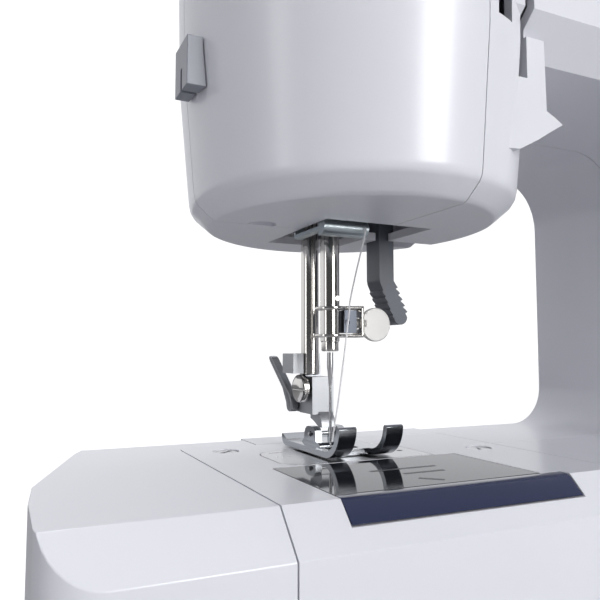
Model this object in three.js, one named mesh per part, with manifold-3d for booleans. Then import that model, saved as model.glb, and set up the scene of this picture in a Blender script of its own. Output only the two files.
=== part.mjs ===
// A compact free-arm domestic sewing machine, modelled piece by piece in millimetres, +Z up.
// Inside the file the needle stands at x = 0, y = 0 and the top of the bed is z = 0; the operator
// sits on the -Y side and the handwheel is at +X. The finished group is moved so that the middle
// of its bounding box's lowest face is the origin.
import * as THREE from 'three';
import { mergeVertices } from 'three/addons/utils/BufferGeometryUtils.js';
import Module from 'manifold-3d';

const wasm = await Module();
wasm.setup();

// Driving dimensions
const BED_HEIGHT = 82; // table to bed top
const FOOT_HEIGHT = 4;
const ARM_CLEARANCE = 109; // bed top to the underside of the arm
const ARM_HEIGHT = 72; // underside to top of the arm
const THROAT = 129; // needle to column
const COLUMN_WIDTH = 76;
const BODY_FRONT = -60;
const BODY_BACK = 47;
const WALL = 2.5;
const GAP = 0.3; // clearance between pieces that touch
const FRONT_CHAMFER = 9;
const BACK_CHAMFER = 4;
const THROAT_TOP_RADIUS = 22;
const THROAT_BED_RADIUS = 16;

const HEAD_BOTTOM = 67.7; // bed top to the underside of the head
const HEAD_X = 0.4;
const HEAD_Y = -9.5;
const HEAD_DEPTH_RADIUS = 51.7;
const HEAD_ROUNDNESS = 0.887; // width of the head's plan for its depth

const FREE_ARM_LEFT = -38.3;
const FREE_ARM_RIGHT = 62.7;
const FREE_ARM_BACK = 31;
const FREE_ARM_DEPTH = 56;
const TABLE_LEFT = -86;
const REAR_STRIP_LEFT = -12;
const BASE_PLATE_THICKNESS = 4;

const BAR_RADIUS = 3; // needle bar and presser bar
const BAR_SPACING = 14.2;
const NEEDLE_BAR_BOTTOM = 31.7;
const NEEDLE_BAR_TOP = 150;
const PRESSER_BAR_BOTTOM = 24.1;
const PRESSER_BAR_TOP = 150;
const NEEDLE_TIP = 2;
const SWING_PIVOT_Z = 169;

const SHAFT_Z = 145;
const SHAFT_RADIUS = 6;
const HANDWHEEL_RADIUS = 33;
const HANDWHEEL_WIDTH = 24;
const HOOK_X = 6;
const HOOK_Y = -20.5;
const HOOK_RADIUS = 19.5;
const BOBBIN_RADIUS = 10.5;
const BOBBIN_HEIGHT = 11;

const PLATE = { left: -19, right: 30, front: -11, back: 17, thickness: 2 };
const COVER = { left: -24, right: 37, front: -47.5, back: -11.4, thickness: 2.4 };
const FLAP = { right: 43.5, drop: 4.7 }; // the cover's front edge, folded over the chamfer

const BODY_RIGHT = THROAT + COLUMN_WIDTH;
const ARM_TOP = ARM_CLEARANCE + ARM_HEIGHT;
const BASE_BOTTOM = -(BED_HEIGHT - FOOT_HEIGHT);
const BED_FRONT = BODY_FRONT + FRONT_CHAMFER;
const FAR = 500;

// Finishes
const WHITE = [0xe9e9f0, 0.25, 0];
const GREY = [0x8d8f98, 0.4, 0];
const DARK = [0x3a3c42, 0.5, 0];
const SMOKE = [0x2b2c34, 0.1, 0];
const NAVY = [0x23263f, 0.2, 0];
const RUBBER = [0x1c1c1e, 0.9, 0];
const STEEL = [0xb9bbbd, 0.3, 1];
const CHROME = [0xd4d6d8, 0.12, 1];
const ZINC = [0x9fa9ad, 0.35, 1];
const CASTING = [0x9a9c9e, 0.6, 0.8];
const THREAD = [0xf4f4f4, 0.8, 0];

const machine = new THREE.Group();

// Solids: three.js geometry turned into manifold solids, and back into meshes.
function solid(geometry) {
  geometry.deleteAttribute('normal');
  geometry.deleteAttribute('uv');
  const merged = mergeVertices(geometry, 1e-4);
  const vertices = merged.attributes.position.array;
  const faces = merged.index.array;
  let volume = 0;
  const [a, b, c] = [new THREE.Vector3(), new THREE.Vector3(), new THREE.Vector3()];
  for (let i = 0; i < faces.length; i += 3) {
    a.fromArray(vertices, faces[i] * 3);
    b.fromArray(vertices, faces[i + 1] * 3);
    c.fromArray(vertices, faces[i + 2] * 3);
    volume += a.dot(b.cross(c));
  }
  const order = volume > 0 ? [0, 1, 2] : [0, 2, 1];
  const triangles = [];
  for (let i = 0; i < faces.length; i += 3) {
    const corners = order.map((k) => faces[i + k]);
    if (new Set(corners).size === 3) triangles.push(...corners);
  }
  return new wasm.Manifold(new wasm.Mesh({
    numProp: 3,
    vertProperties: Float32Array.from(vertices),
    triVerts: Uint32Array.from(triangles),
  }));
}

function addPiece(name, body, [color, roughness, metalness]) {
  const { numProp, vertProperties, triVerts } = body.getMesh();
  const geometry = new THREE.BufferGeometry();
  const points = [];
  for (let i = 0; i < vertProperties.length; i += numProp) {
    points.push(vertProperties[i], vertProperties[i + 1], vertProperties[i + 2]);
  }
  geometry.setAttribute('position', new THREE.Float32BufferAttribute(points, 3));
  geometry.setIndex([...triVerts]);
  geometry.computeVertexNormals();
  const mesh = new THREE.Mesh(geometry, new THREE.MeshStandardMaterial({ color, roughness, metalness }));
  mesh.name = name;
  machine.add(mesh);
}

function box(x0, x1, y0, y1, z0, z1) {
  const geometry = new THREE.BoxGeometry(x1 - x0, y1 - y0, z1 - z0);
  return solid(geometry.translate((x0 + x1) / 2, (y0 + y1) / 2, (z0 + z1) / 2));
}

function join(...bodies) {
  return bodies.reduce((whole, body) => whole.add(body));
}

function cut(body, ...tools) {
  return tools.reduce((rest, tool) => rest.subtract(tool), body);
}

const ALONG_X = new THREE.Matrix4().makeBasis(
  new THREE.Vector3(0, 1, 0), new THREE.Vector3(0, 0, 1), new THREE.Vector3(1, 0, 0));
const ALONG_Y = new THREE.Matrix4().makeRotationX(Math.PI / 2);

// A plan outline (x, y) raised from z0 to z1.
function raise(shape, z0, z1, curveSegments = 8) {
  const geometry = new THREE.ExtrudeGeometry(shape, { depth: z1 - z0, bevelEnabled: false, curveSegments });
  return solid(geometry.translate(0, 0, z0));
}

// A front outline (x, z) run from y0 back to y1.
function runBack(shape, y0, y1, curveSegments = 8) {
  const geometry = new THREE.ExtrudeGeometry(shape, { depth: y1 - y0, bevelEnabled: false, curveSegments });
  return solid(geometry.applyMatrix4(ALONG_Y).translate(0, y1, 0));
}

// A side outline (y, z) run from x0 across to x1.
function runAcross(shape, x0, x1, curveSegments = 8) {
  const geometry = new THREE.ExtrudeGeometry(shape, { depth: x1 - x0, bevelEnabled: false, curveSegments });
  return solid(geometry.applyMatrix4(ALONG_X).translate(x0, 0, 0));
}

function polygon(...points) {
  return new THREE.Shape(points.map(([u, v]) => new THREE.Vector2(u, v)));
}

function roundedBox(u0, u1, v0, v1, radius) {
  const shape = new THREE.Shape();
  shape.absarc(u1 - radius, v0 + radius, radius, -Math.PI / 2, 0);
  shape.absarc(u1 - radius, v1 - radius, radius, 0, Math.PI / 2);
  shape.absarc(u0 + radius, v1 - radius, radius, Math.PI / 2, Math.PI);
  shape.absarc(u0 + radius, v0 + radius, radius, Math.PI, Math.PI * 1.5);
  return shape;
}

// A turned piece: profile points are (radius, height) up the axis.
function turn(profile, segments = 24) {
  return new THREE.LatheGeometry(profile.map(([r, h]) => new THREE.Vector2(r, h)), segments);
}

function turnedUp(profile, x, y, segments) {
  return solid(turn(profile, segments).rotateX(Math.PI / 2).translate(x, y, 0));
}

function turnedAcross(profile, y, z, segments) {
  return solid(turn(profile, segments).rotateZ(-Math.PI / 2).translate(0, y, z));
}

function turnedBack(profile, x, z, segments) {
  return solid(turn(profile, segments).translate(x, 0, z));
}

const disc = (radius, from, to) => [[0, from], [radius, from], [radius, to], [0, to]];
const upright = (radius, x, y, z0, z1, segments) => turnedUp(disc(radius, z0, z1), x, y, segments);
const crosswise = (radius, y, z, x0, x1, segments) => turnedAcross(disc(radius, x0, x1), y, z, segments);
const lengthwise = (radius, x, z, y0, y1, segments) => turnedBack(disc(radius, y0, y1), x, z, segments);

// Body: column, arm and base are one C-shaped box, and the head is a deep oval cup at its left end.
function bodyOutline() {
  const shape = new THREE.Shape();
  const top = 14;
  shape.moveTo(FREE_ARM_RIGHT, BASE_BOTTOM);
  shape.lineTo(BODY_RIGHT, BASE_BOTTOM);
  shape.absarc(BODY_RIGHT - top, ARM_TOP - top, top, 0, Math.PI / 2);
  shape.lineTo(HEAD_X, ARM_TOP);
  shape.lineTo(HEAD_X, ARM_CLEARANCE);
  const r1 = THROAT_TOP_RADIUS;
  shape.absarc(THROAT - r1, ARM_CLEARANCE - r1, r1, Math.PI / 2, 0, true);
  const r2 = THROAT_BED_RADIUS;
  shape.absarc(THROAT - r2, r2, r2, 0, -Math.PI / 2, true);
  shape.lineTo(FREE_ARM_RIGHT, 0);
  return shape;
}

function bodyBlock(chamfer, steps, inset) {
  const bevel = { bevelEnabled: true, bevelThickness: chamfer, bevelSize: chamfer, bevelSegments: steps };
  const depth = BODY_BACK - BODY_FRONT - 2 * (chamfer + inset);
  const geometry = new THREE.ExtrudeGeometry(bodyOutline(), {
    ...bevel, depth, bevelOffset: -chamfer - inset, curveSegments: 8,
  });
  return solid(geometry.applyMatrix4(ALONG_Y).translate(0, BODY_BACK - chamfer - inset, 0));
}

function headCup(inset) {
  const lip = HEAD_DEPTH_RADIUS - inset;
  const profile = [
    [0, HEAD_BOTTOM + inset],
    [lip - 6, HEAD_BOTTOM + inset],
    [lip, HEAD_BOTTOM + 4.9 + inset * 0.4],
    [lip + 3.6, ARM_CLEARANCE],
    [lip + 5, ARM_TOP - 16],
    [lip + 2, ARM_TOP - 6 - inset * 0.5],
    [lip - 4, ARM_TOP - inset],
    [0, ARM_TOP - inset],
  ];
  const geometry = turn(profile, 40).rotateX(Math.PI / 2).scale(HEAD_ROUNDNESS, 1, 1);
  return solid(geometry.translate(HEAD_X, HEAD_Y, 0));
}

// The skirt that sweeps from the front of the head up to the arm's underside.
function gusset(inset) {
  const shape = polygon([20, 82], [24, 82.3], [30, 85.4], [35, 88.4], [38.8, 90.6], [36, 92.2],
    [33.3, 93.4], [33, 112], [20, 112]);
  const front = BODY_FRONT + 3 + inset;
  return runBack(shape, front, -40 - inset);
}

const frontHalf = box(-FAR, FAR, -FAR, -GAP / 2, -FAR, FAR);
const backHalf = box(-FAR, FAR, GAP / 2, FAR, -FAR, FAR);
const rearStrip = box(REAR_STRIP_LEFT, FREE_ARM_RIGHT + 1, FREE_ARM_BACK + GAP, BODY_BACK, BASE_BOTTOM, 0);
const outside = join(
  bodyBlock(FRONT_CHAMFER, 1, 0).intersect(box(-FAR, FAR, -FAR, 0, -FAR, FAR)),
  bodyBlock(BACK_CHAMFER, 1, 0).intersect(box(-FAR, FAR, 0, FAR, -FAR, FAR)),
  headCup(0),
  gusset(0),
  rearStrip,
);

// Pockets keep their own walls where they dip into the hollow of the covers.
const HANDLE = { left: THROAT - 72, right: THROAT + 24, front: 12, pivotY: 33, z: 176.6, radius: 3, arm: 7 };
const handlePocket = (grow) => box(
  HANDLE.left - 4 - grow, HANDLE.right + 4 + grow,
  HANDLE.front - 2 - grow, HANDLE.pivotY + 5 + grow,
  HANDLE.z - HANDLE.radius - 1 - grow, FAR);
const hollow = join(
  bodyBlock(FRONT_CHAMFER - 1, 1, WALL).intersect(box(-FAR, FAR, -FAR, 0, -FAR, FAR)),
  bodyBlock(BACK_CHAMFER, 1, WALL).intersect(box(-FAR, FAR, 0, FAR, -FAR, FAR)),
  headCup(WALL),
  box(REAR_STRIP_LEFT + WALL, FREE_ARM_RIGHT + 6, FREE_ARM_BACK + WALL, BODY_BACK - WALL,
    BASE_BOTTOM + WALL, -WALL),
).subtract(handlePocket(WALL));

const LIFTER = { left: 18.9, right: 24.4, front: 1.2, back: 9.3, pivotZ: 82 };
const behindBars = BAR_SPACING + BAR_RADIUS + 2.3;
const barOpening = box(-12.9, 12.5, -23, behindBars, HEAD_BOTTOM - 1, HEAD_BOTTOM + 9);
const lifterSlot = box(LIFTER.left - 1.4, 56, LIFTER.front - 0.7, LIFTER.back + 0.7, HEAD_BOTTOM - 1, 88);
const notch = box(4.8, LIFTER.left + 3, -23, LIFTER.front, HEAD_BOTTOM - 1, HEAD_BOTTOM + 9);
const leverSlot = box(12.4, 18.6, -FAR, -24, 112, FAR);
const tensionSlot = box(24, 27, -FAR, -24, 101, FAR);
const TENSION = { left: 33, right: 41, y: -34, z: 170.5, radius: 15 };
const tensionRoom = TENSION.radius + 0.6;
const tensionWindow = box(TENSION.left - 0.8, TENSION.right + 0.8, TENSION.y - tensionRoom,
  TENSION.y + tensionRoom, 160, FAR);
const shaftHole = crosswise(SHAFT_RADIUS + 2, 0, SHAFT_Z, THROAT, FAR, 24);
const basePan = box(FREE_ARM_RIGHT + WALL, BODY_RIGHT - WALL, BODY_FRONT + 5, BODY_BACK - 4,
  -FAR, BASE_BOTTOM + BASE_PLATE_THICKNESS + 2);
const freeArmMouth = box(FREE_ARM_RIGHT - 1, FREE_ARM_RIGHT + 9,
  BODY_FRONT + 12, FREE_ARM_BACK - 6, -FREE_ARM_DEPTH + 3, -5);

const plateMouth = box(FREE_ARM_RIGHT - 1, FREE_ARM_RIGHT + WALL + 1,
  BODY_FRONT + 12, FREE_ARM_BACK - 6, -FAR, BASE_BOTTOM + BASE_PLATE_THICKNESS + GAP);

const DIALS = { x: BODY_RIGHT - 35, patternZ: 128, lengthZ: 80, leverZ: 34 };
const WINDER = { x: BODY_RIGHT - 33, y: -25, travel: 4 };
const SPOOL_PINS = [THROAT - 57, THROAT - 21];
const SPOOL_PIN_Y = -32;
const SWITCH = { y: -14, z: -40 };
const SOCKET = { y: 20, z: -44 };
const fittings = [
  lengthwise(3.4, DIALS.x, DIALS.patternZ, -FAR, -20),
  lengthwise(3.4, DIALS.x, DIALS.lengthZ, -FAR, -20),
  box(DIALS.x - 5, DIALS.x + 5, -FAR, -20, DIALS.leverZ - 5, DIALS.leverZ + 5),
  box(WINDER.x - WINDER.travel - 4.5, WINDER.x + 4.5, WINDER.y - 4.5, WINDER.y + 4.5, 150, FAR),
  ...SPOOL_PINS.map((x) => upright(3, x, SPOOL_PIN_Y, 150, FAR, 16)),
  crosswise(1.6 + GAP, HANDLE.pivotY, HANDLE.z, HANDLE.left - 7, HANDLE.right + 7, 16),
  box(BODY_RIGHT - 20, FAR, SWITCH.y - 8, SWITCH.y + 8, SWITCH.z - 12.5, SWITCH.z + 12.5),
  box(BODY_RIGHT - 20, FAR, SOCKET.y - 11, SOCKET.y + 11, SOCKET.z - 8, SOCKET.z + 8),
];
const shell = cut(outside, hollow, handlePocket(0), barOpening, lifterSlot, notch, leverSlot, tensionSlot,
  tensionWindow, shaftHole, basePan, plateMouth, freeArmMouth, ...fittings);

// The face cover wraps the head's front left; its edges step around the bar opening.
const FACE = { right: 8.8, backRight: -23, stepX: -13, backLeft: -7 };
const faceRegion = join(
  box(-FAR, FACE.right, -FAR, FACE.backRight, HEAD_BOTTOM - 5, FAR),
  box(-FAR, FACE.stepX, -FAR, FACE.backLeft, HEAD_BOTTOM - 5, FAR),
);
const faceGap = join(
  box(-FAR, FACE.right + GAP, -FAR, FACE.backRight + GAP, HEAD_BOTTOM - 5, FAR),
  box(-FAR, FACE.stepX + GAP, -FAR, FACE.backLeft + GAP, HEAD_BOTTOM - 5, FAR),
);
const faceScrewRecess = box(-30, -22, -12.4, -3, HEAD_BOTTOM - 1, HEAD_BOTTOM + 1.8);
const backRegion = join(backHalf, box(-FAR, FACE.right, FACE.backRight, FAR, HEAD_BOTTOM - 5, FAR));
const frontRegion = frontHalf.subtract(
  box(-FAR, FACE.right + GAP, FACE.backRight - GAP, FAR, HEAD_BOTTOM - 5, FAR));
addPiece('face_cover', shell.intersect(faceRegion).subtract(faceScrewRecess), WHITE);
addPiece('front_cover', shell.intersect(frontRegion).subtract(faceGap), WHITE);
addPiece('rear_cover', shell.intersect(backRegion).subtract(faceGap), WHITE);

// Base plate and its rubber feet
const plateTop = BASE_BOTTOM + BASE_PLATE_THICKNESS;
addPiece('base_plate', join(
  box(FREE_ARM_LEFT + 2, FREE_ARM_RIGHT - GAP, BODY_FRONT + 3, FREE_ARM_BACK - 2, BASE_BOTTOM, plateTop),
  box(FREE_ARM_RIGHT - 2, FREE_ARM_RIGHT + 12, BODY_FRONT + 12 + GAP, FREE_ARM_BACK - 6 - GAP,
    BASE_BOTTOM, plateTop),
  box(FREE_ARM_RIGHT + WALL + GAP, BODY_RIGHT - WALL - GAP, BODY_FRONT + 5 + GAP, BODY_BACK - 4 - GAP,
    BASE_BOTTOM, plateTop),
), DARK);
const footSpots = {
  front_left: [FREE_ARM_LEFT + 14, BODY_FRONT + 15],
  rear_left: [FREE_ARM_LEFT + 14, FREE_ARM_BACK - 14],
  front_right: [BODY_RIGHT - 16, BODY_FRONT + 18],
  rear_right: [BODY_RIGHT - 16, BODY_BACK - 18],
};
for (const [spot, [x, y]] of Object.entries(footSpots)) {
  const profile = [[0, -BED_HEIGHT], [6.5, -BED_HEIGHT], [7.5, BASE_BOTTOM - GAP], [0, BASE_BOTTOM - GAP]];
  addPiece(`rubber_foot_${spot}`, turnedUp(profile, x, y, 16), RUBBER);
}

// Free arm: a hollow beam whose top carries the needle plate and the bobbin cover.
function freeArmSection(inset) {
  const front = BODY_FRONT + inset;
  const back = FREE_ARM_BACK - inset;
  const bottom = -FREE_ARM_DEPTH + inset;
  const top = -inset;
  const bend = FRONT_CHAMFER - inset * 0.6;
  return polygon([front + 6, bottom], [back - 6, bottom], [back, bottom + 6], [back, top],
    [front + bend, top], [front, top - bend], [front, bottom + 6]);
}

const plateOutline = (grow) => {
  const shape = new THREE.Shape();
  const corner = 9;
  shape.moveTo(PLATE.left - grow, PLATE.front + 5);
  shape.lineTo(PLATE.left + 5, PLATE.front - grow);
  shape.lineTo(PLATE.right + grow, PLATE.front - grow);
  shape.lineTo(PLATE.right + grow, PLATE.back + grow);
  shape.lineTo(PLATE.left + corner, PLATE.back + grow);
  shape.absarc(PLATE.left + corner, PLATE.back + grow - corner - grow, corner + grow, Math.PI / 2, Math.PI);
  return shape;
};
const coverRecess = join(
  box(COVER.left - GAP, COVER.right + GAP, COVER.front - 2, COVER.back, -COVER.thickness - GAP, 5),
  box(COVER.left - GAP, FLAP.right + GAP, BODY_FRONT - 5, COVER.front, -FLAP.drop - GAP, 5),
);
const bedScrews = { left: [-26, 22], right: [52, -6] };
const screwRecesses = Object.values(bedScrews).map(([x, y]) => upright(4.2, x, y, -1.6, 5, 20));
addPiece('free_arm_cover', cut(
  runAcross(freeArmSection(0), FREE_ARM_LEFT, FREE_ARM_RIGHT - GAP),
  runAcross(freeArmSection(WALL), FREE_ARM_LEFT + WALL, FREE_ARM_RIGHT + 5),
  raise(plateOutline(GAP), -WALL - 1, 5),
  coverRecess,
  ...screwRecesses,
), WHITE);
for (const [side, [x, y]] of Object.entries(bedScrews)) {
  const slotted = upright(3.6, x, y, -1.3, -0.3, 20).subtract(box(x - 4, x + 4, y - 0.5, y + 0.5, -0.8, 1));
  addPiece(`bed_screw_${side}`, slotted, STEEL);
}

// Needle plate: slots for three rows of feed teeth and for the needle's swing
const NEEDLE_SWING = 7;
const FEED_ROWS = [[-5, -2.6], [2.4, 4.6], [9.4, 11.8]];
const feedRow = ([left, right], grow) => {
  const front = left > 0 && right < NEEDLE_SWING ? 3.5 : -6;
  return box(left - grow, right + grow, front - grow * 4, 12 + grow * 4, -9, 5);
};
const needleSlot = box(-1.4, NEEDLE_SWING + 1.4, -1.3, 1.3, -9, 5);
addPiece('needle_plate', cut(
  raise(plateOutline(0), -PLATE.thickness, 0),
  ...FEED_ROWS.map((row) => feedRow(row, 0.6)),
  needleSlot,
  upright(1, 25, 0, -5, 5, 12),
), STEEL);

// Bobbin cover: a smoked window and the dark flap that folds over the bed's front edge
addPiece('bobbin_cover_window', box(COVER.left, COVER.right, COVER.front, COVER.back - GAP,
  -COVER.thickness, 0), SMOKE);
const flapInside = BED_FRONT - FLAP.drop + 1.4;
const flapSection = polygon([COVER.front - GAP, 0], [COVER.front - GAP, -2.2], [flapInside + 2.5, -2.2],
  [flapInside, -FLAP.drop], [BED_FRONT - FLAP.drop, -FLAP.drop], [BED_FRONT, 0]);
addPiece('bobbin_cover_flap', runAcross(flapSection, COVER.left, FLAP.right), NAVY);

// Extension table: the left end of the bed and a strip behind the free arm, hollow for accessories
function tableOutline(inset) {
  const left = TABLE_LEFT + inset;
  const right = FREE_ARM_LEFT - GAP - inset;
  const front = BODY_FRONT + inset;
  const back = BODY_BACK - inset;
  const shape = new THREE.Shape();
  shape.moveTo(right, front);
  shape.lineTo(right, FREE_ARM_BACK + GAP + (inset > 0 ? -inset : 0));
  if (inset === 0) {
    shape.lineTo(REAR_STRIP_LEFT - GAP, FREE_ARM_BACK + GAP);
    shape.lineTo(REAR_STRIP_LEFT - GAP, back);
  } else {
    shape.lineTo(right, back);
  }
  shape.lineTo(left + 26, back);
  shape.quadraticCurveTo(left + 19, back, left + 16, back - 9);
  shape.lineTo(left + 1.5, -10);
  shape.lineTo(left, -28);
  shape.absarc(left + 12, front + 12, 12, Math.PI, Math.PI * 1.5);
  return shape;
}
const LID = { left: -72, right: -43, bottom: BASE_BOTTOM + 6, top: -16, thickness: 2 };
const tableSide = polygon([BODY_FRONT, BASE_BOTTOM], [BODY_BACK, BASE_BOTTOM], [BODY_BACK, -BACK_CHAMFER],
  [BODY_BACK - BACK_CHAMFER, 0], [BODY_FRONT + FRONT_CHAMFER, 0], [BODY_FRONT, -FRONT_CHAMFER]);
const tableBody = raise(tableOutline(0), BASE_BOTTOM, 0).intersect(
  runAcross(tableSide, TABLE_LEFT - 1, FREE_ARM_RIGHT));
const lidMouth = (grow) => box(LID.left - grow, LID.right + grow, BODY_FRONT - 1, BODY_FRONT + WALL + 2,
  LID.bottom - grow, LID.top + grow);
addPiece('extension_table', cut(
  tableBody,
  raise(tableOutline(WALL), BASE_BOTTOM + WALL, -WALL - 6).intersect(
    box(-FAR, FAR, BODY_FRONT + WALL, BODY_BACK - WALL, -FAR, FAR)),
  lidMouth(GAP),
), WHITE);
addPiece('accessory_lid', box(LID.left, LID.right, BODY_FRONT, BODY_FRONT + LID.thickness,
  LID.bottom + GAP, LID.top), WHITE);

// Frame: one casting that carries the shafts, the bars, the lifter and the hook's bed
const MOTOR_Z = -16;
const FRAME = { bottom: -52, beamZ: 114, right: BODY_RIGHT - 19 };
const TIMING = { left: THROAT + 4.5, right: THROAT + 10.5 }; // width of the timing pulleys
const PULLEY = { left: BODY_RIGHT - 16.5, right: BODY_RIGHT - 8.5 }; // width of the drive pulleys
const SHAFT_END = BODY_RIGHT + 2;
const MOTOR = { left: BODY_RIGHT - 62, right: BODY_RIGHT - 26 };
const hookWell = upright(HOOK_RADIUS + 1, HOOK_X, HOOK_Y, -FAR, 0, 32);
const feedWell = box(-8, 15, -9, 15.5, -FAR, 0);
const bearing = (x0, x1) => box(x0, x1, -10, 10, FRAME.beamZ + 5, SHAFT_Z + 11);
const lifterMid = (LIFTER.left + LIFTER.right) / 2;
addPiece('machine_frame', cut(
  join(
    box(FRAME.right - 6, FRAME.right, -30, 30, BASE_BOTTOM + 8, SHAFT_Z + 15),
    box(-16, FRAME.right - 5, -20, 20, FRAME.beamZ, FRAME.beamZ + 6),
    bearing(24, 30),
    bearing(THROAT - 9, THROAT - 3),
    box(-6, 6, -14, -10, FRAME.beamZ + 5, SWING_PIVOT_Z + 5),
    lengthwise(2.2, 0, SWING_PIVOT_Z, -11, 7, 16),
    box(17.5, 22, -14, -6, FRAME.beamZ + 5, 130),
    crosswise(2, -10, 125, 13, 18, 12),
    box(lifterMid - 4, lifterMid + 4, 11, 14, LIFTER.pivotZ - 4, FRAME.beamZ + 1),
    lengthwise(2, lifterMid, LIFTER.pivotZ, 2, 12, 16),
    box(-30, FRAME.right - 5, 10, 22, FRAME.bottom, FRAME.bottom + 8),
    box(-30, -24, 10, 22, FRAME.bottom, -5),
    box(50, 56, 10, 22, FRAME.bottom, -5),
    box(-30, 56, -45, 26, -6.2, -WALL - GAP - 0.2),
  ),
  crosswise(SHAFT_RADIUS + GAP, 0, SHAFT_Z, 0, FAR, 24),
  crosswise(3.3, 0, MOTOR_Z, MOTOR.right - 9, FAR, 16),
  box(-9, 9, -9, behindBars, FRAME.beamZ - 1, FRAME.beamZ + 7),
  box(12.5, 18, -21, -11, FRAME.beamZ + 3, FRAME.beamZ + 7),
  box(TIMING.left - 2.5, TIMING.right + 2.5, -17, 17, FRAME.beamZ - 1, FRAME.beamZ + 7),
  hookWell,
  feedWell,
), CASTING);

// Upper shaft, its crank, the handwheel and the two belts
addPiece('upper_shaft', join(
  crosswise(SHAFT_RADIUS, 0, SHAFT_Z, 13.3, SHAFT_END, 16),
  crosswise(12, 0, SHAFT_Z, TIMING.left, TIMING.right, 16),
  turnedAcross([[0, PULLEY.left], [27, PULLEY.left], [27, PULLEY.left + 0.7], [25, PULLEY.left + 1.5],
    [25, PULLEY.right - 1.5], [27, PULLEY.right - 0.7], [27, PULLEY.right], [0, PULLEY.right]],
    0, SHAFT_Z, 24),
), STEEL);
const crankWindow = box(0, 20, -20, 20, SHAFT_Z + 6, SHAFT_Z + 20)
  .intersect(crosswise(11, 0, SHAFT_Z, 0, 20, 24));
addPiece('needle_bar_crank', crosswise(15, 0, SHAFT_Z, 9.5, 13, 32).subtract(crankWindow), CASTING);
const rim = HANDWHEEL_RADIUS;
const wheelLeft = BODY_RIGHT + 1.5;
const wheelRight = wheelLeft + HANDWHEEL_WIDTH;
const grips = [...Array(10).keys()].map((k) => {
  const turnAngle = (k / 10) * Math.PI * 2;
  return crosswise(3, rim * 1.03 * Math.cos(turnAngle), SHAFT_Z + rim * 1.03 * Math.sin(turnAngle),
    wheelLeft - 1, wheelRight + 1, 8);
});
addPiece('handwheel', cut(
  turnedAcross([[0, wheelLeft + 2], [rim - 6, wheelLeft], [rim, wheelLeft + 2], [rim, wheelRight - 6],
    [rim - 4, wheelRight - 1], [rim - 9, wheelRight], [rim - 12, wheelRight - 3], [14, wheelRight - 4],
    [12, wheelRight], [0, wheelRight]], 0, SHAFT_Z, 40),
  crosswise(SHAFT_RADIUS + GAP, 0, SHAFT_Z, 0, SHAFT_END + GAP, 24),
  ...grips,
), WHITE);

// A belt is a thin band around two pulleys whose centres lie in one plane across the machine.
function belt(x0, x1, upperRadius, lowerRadius, lowerY, lowerZ, thickness) {
  const span = Math.hypot(lowerY, SHAFT_Z - lowerZ);
  const lean = Math.acos((upperRadius - lowerRadius) / span);
  const down = Math.atan2(lowerZ - SHAFT_Z, lowerY);
  const loop = (grow) => {
    const shape = new THREE.Shape();
    shape.absarc(0, SHAFT_Z, upperRadius + grow, down + lean, down - lean + Math.PI * 2);
    shape.absarc(lowerY, lowerZ, lowerRadius + grow, down - lean, down + lean);
    return shape;
  };
  return runAcross(loop(thickness), x0, x1, 6).subtract(runAcross(loop(0), x0 - 1, x1 + 1, 6));
}
const LOWER_SHAFT = { y: -4.2, z: -37 };
const BELT_THICKNESS = 1.6;
addPiece('drive_belt', belt(PULLEY.left + 1.8, PULLEY.right - 1.8, 25.3, 7.3, 0, MOTOR_Z,
  BELT_THICKNESS), RUBBER);
addPiece('timing_belt', belt(TIMING.left + 0.5, TIMING.right - 0.5, 12.3, 12.3, LOWER_SHAFT.y, LOWER_SHAFT.z,
  BELT_THICKNESS), RUBBER);

addPiece('motor_housing', join(
  turnedAcross([[0, MOTOR.left], [20, MOTOR.left], [24, MOTOR.left + 4], [24, MOTOR.right - 4],
    [20, MOTOR.right], [5, MOTOR.right], [5, MOTOR.left + 10], [0, MOTOR.left + 10]], 0, MOTOR_Z, 20),
  box(MOTOR.left + 5, MOTOR.right - 5, -18, 18, FRAME.bottom + 8 + GAP, MOTOR_Z - 15),
), CASTING);
addPiece('motor_shaft', join(
  crosswise(2.8, 0, MOTOR_Z, MOTOR.left + 13, PULLEY.right + 0.5, 16),
  crosswise(7, 0, MOTOR_Z, PULLEY.left, PULLEY.right, 24),
), STEEL);
addPiece('lower_shaft', join(
  crosswise(4, LOWER_SHAFT.y, LOWER_SHAFT.z, -6, TIMING.right + 1.5, 16),
  crosswise(8, LOWER_SHAFT.y, LOWER_SHAFT.z, 0, 12, 20),
  crosswise(12, LOWER_SHAFT.y, LOWER_SHAFT.z, TIMING.left, TIMING.right, 16),
), STEEL);

// Rotary hook with its own gear, the bobbin case that floats in it, and the bobbin
addPiece('rotary_hook', turnedUp([[0, -46], [3, -46], [3, -41.5], [8, -41], [8, -33], [3, -32.5], [3, -28],
  [HOOK_RADIUS - 3, -27], [HOOK_RADIUS, -24], [HOOK_RADIUS, -8], [HOOK_RADIUS - 1.8, -8],
  [HOOK_RADIUS - 1.8, -23.5], [0, -23.5]], HOOK_X, HOOK_Y, 24), STEEL);
const caseRadius = HOOK_RADIUS - 1.8 - GAP;
addPiece('bobbin_case', turnedUp([[0, -23], [caseRadius - 3, -23], [caseRadius, -20], [caseRadius, -8.2],
  [BOBBIN_RADIUS + 1.2, -8.2], [BOBBIN_RADIUS + 1.2, -20.5], [0, -20.5]], HOOK_X, HOOK_Y, 24), DARK);
const bobbinFoot = -20;
const bobbinTop = bobbinFoot + BOBBIN_HEIGHT;
addPiece('bobbin', turnedUp([[0.0, bobbinFoot], [BOBBIN_RADIUS, bobbinFoot], [BOBBIN_RADIUS, bobbinFoot + 1],
  [4, bobbinFoot + 1], [4, bobbinTop - 1], [BOBBIN_RADIUS, bobbinTop - 1], [BOBBIN_RADIUS, bobbinTop],
  [0, bobbinTop]], HOOK_X, HOOK_Y, 20), SMOKE);

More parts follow.
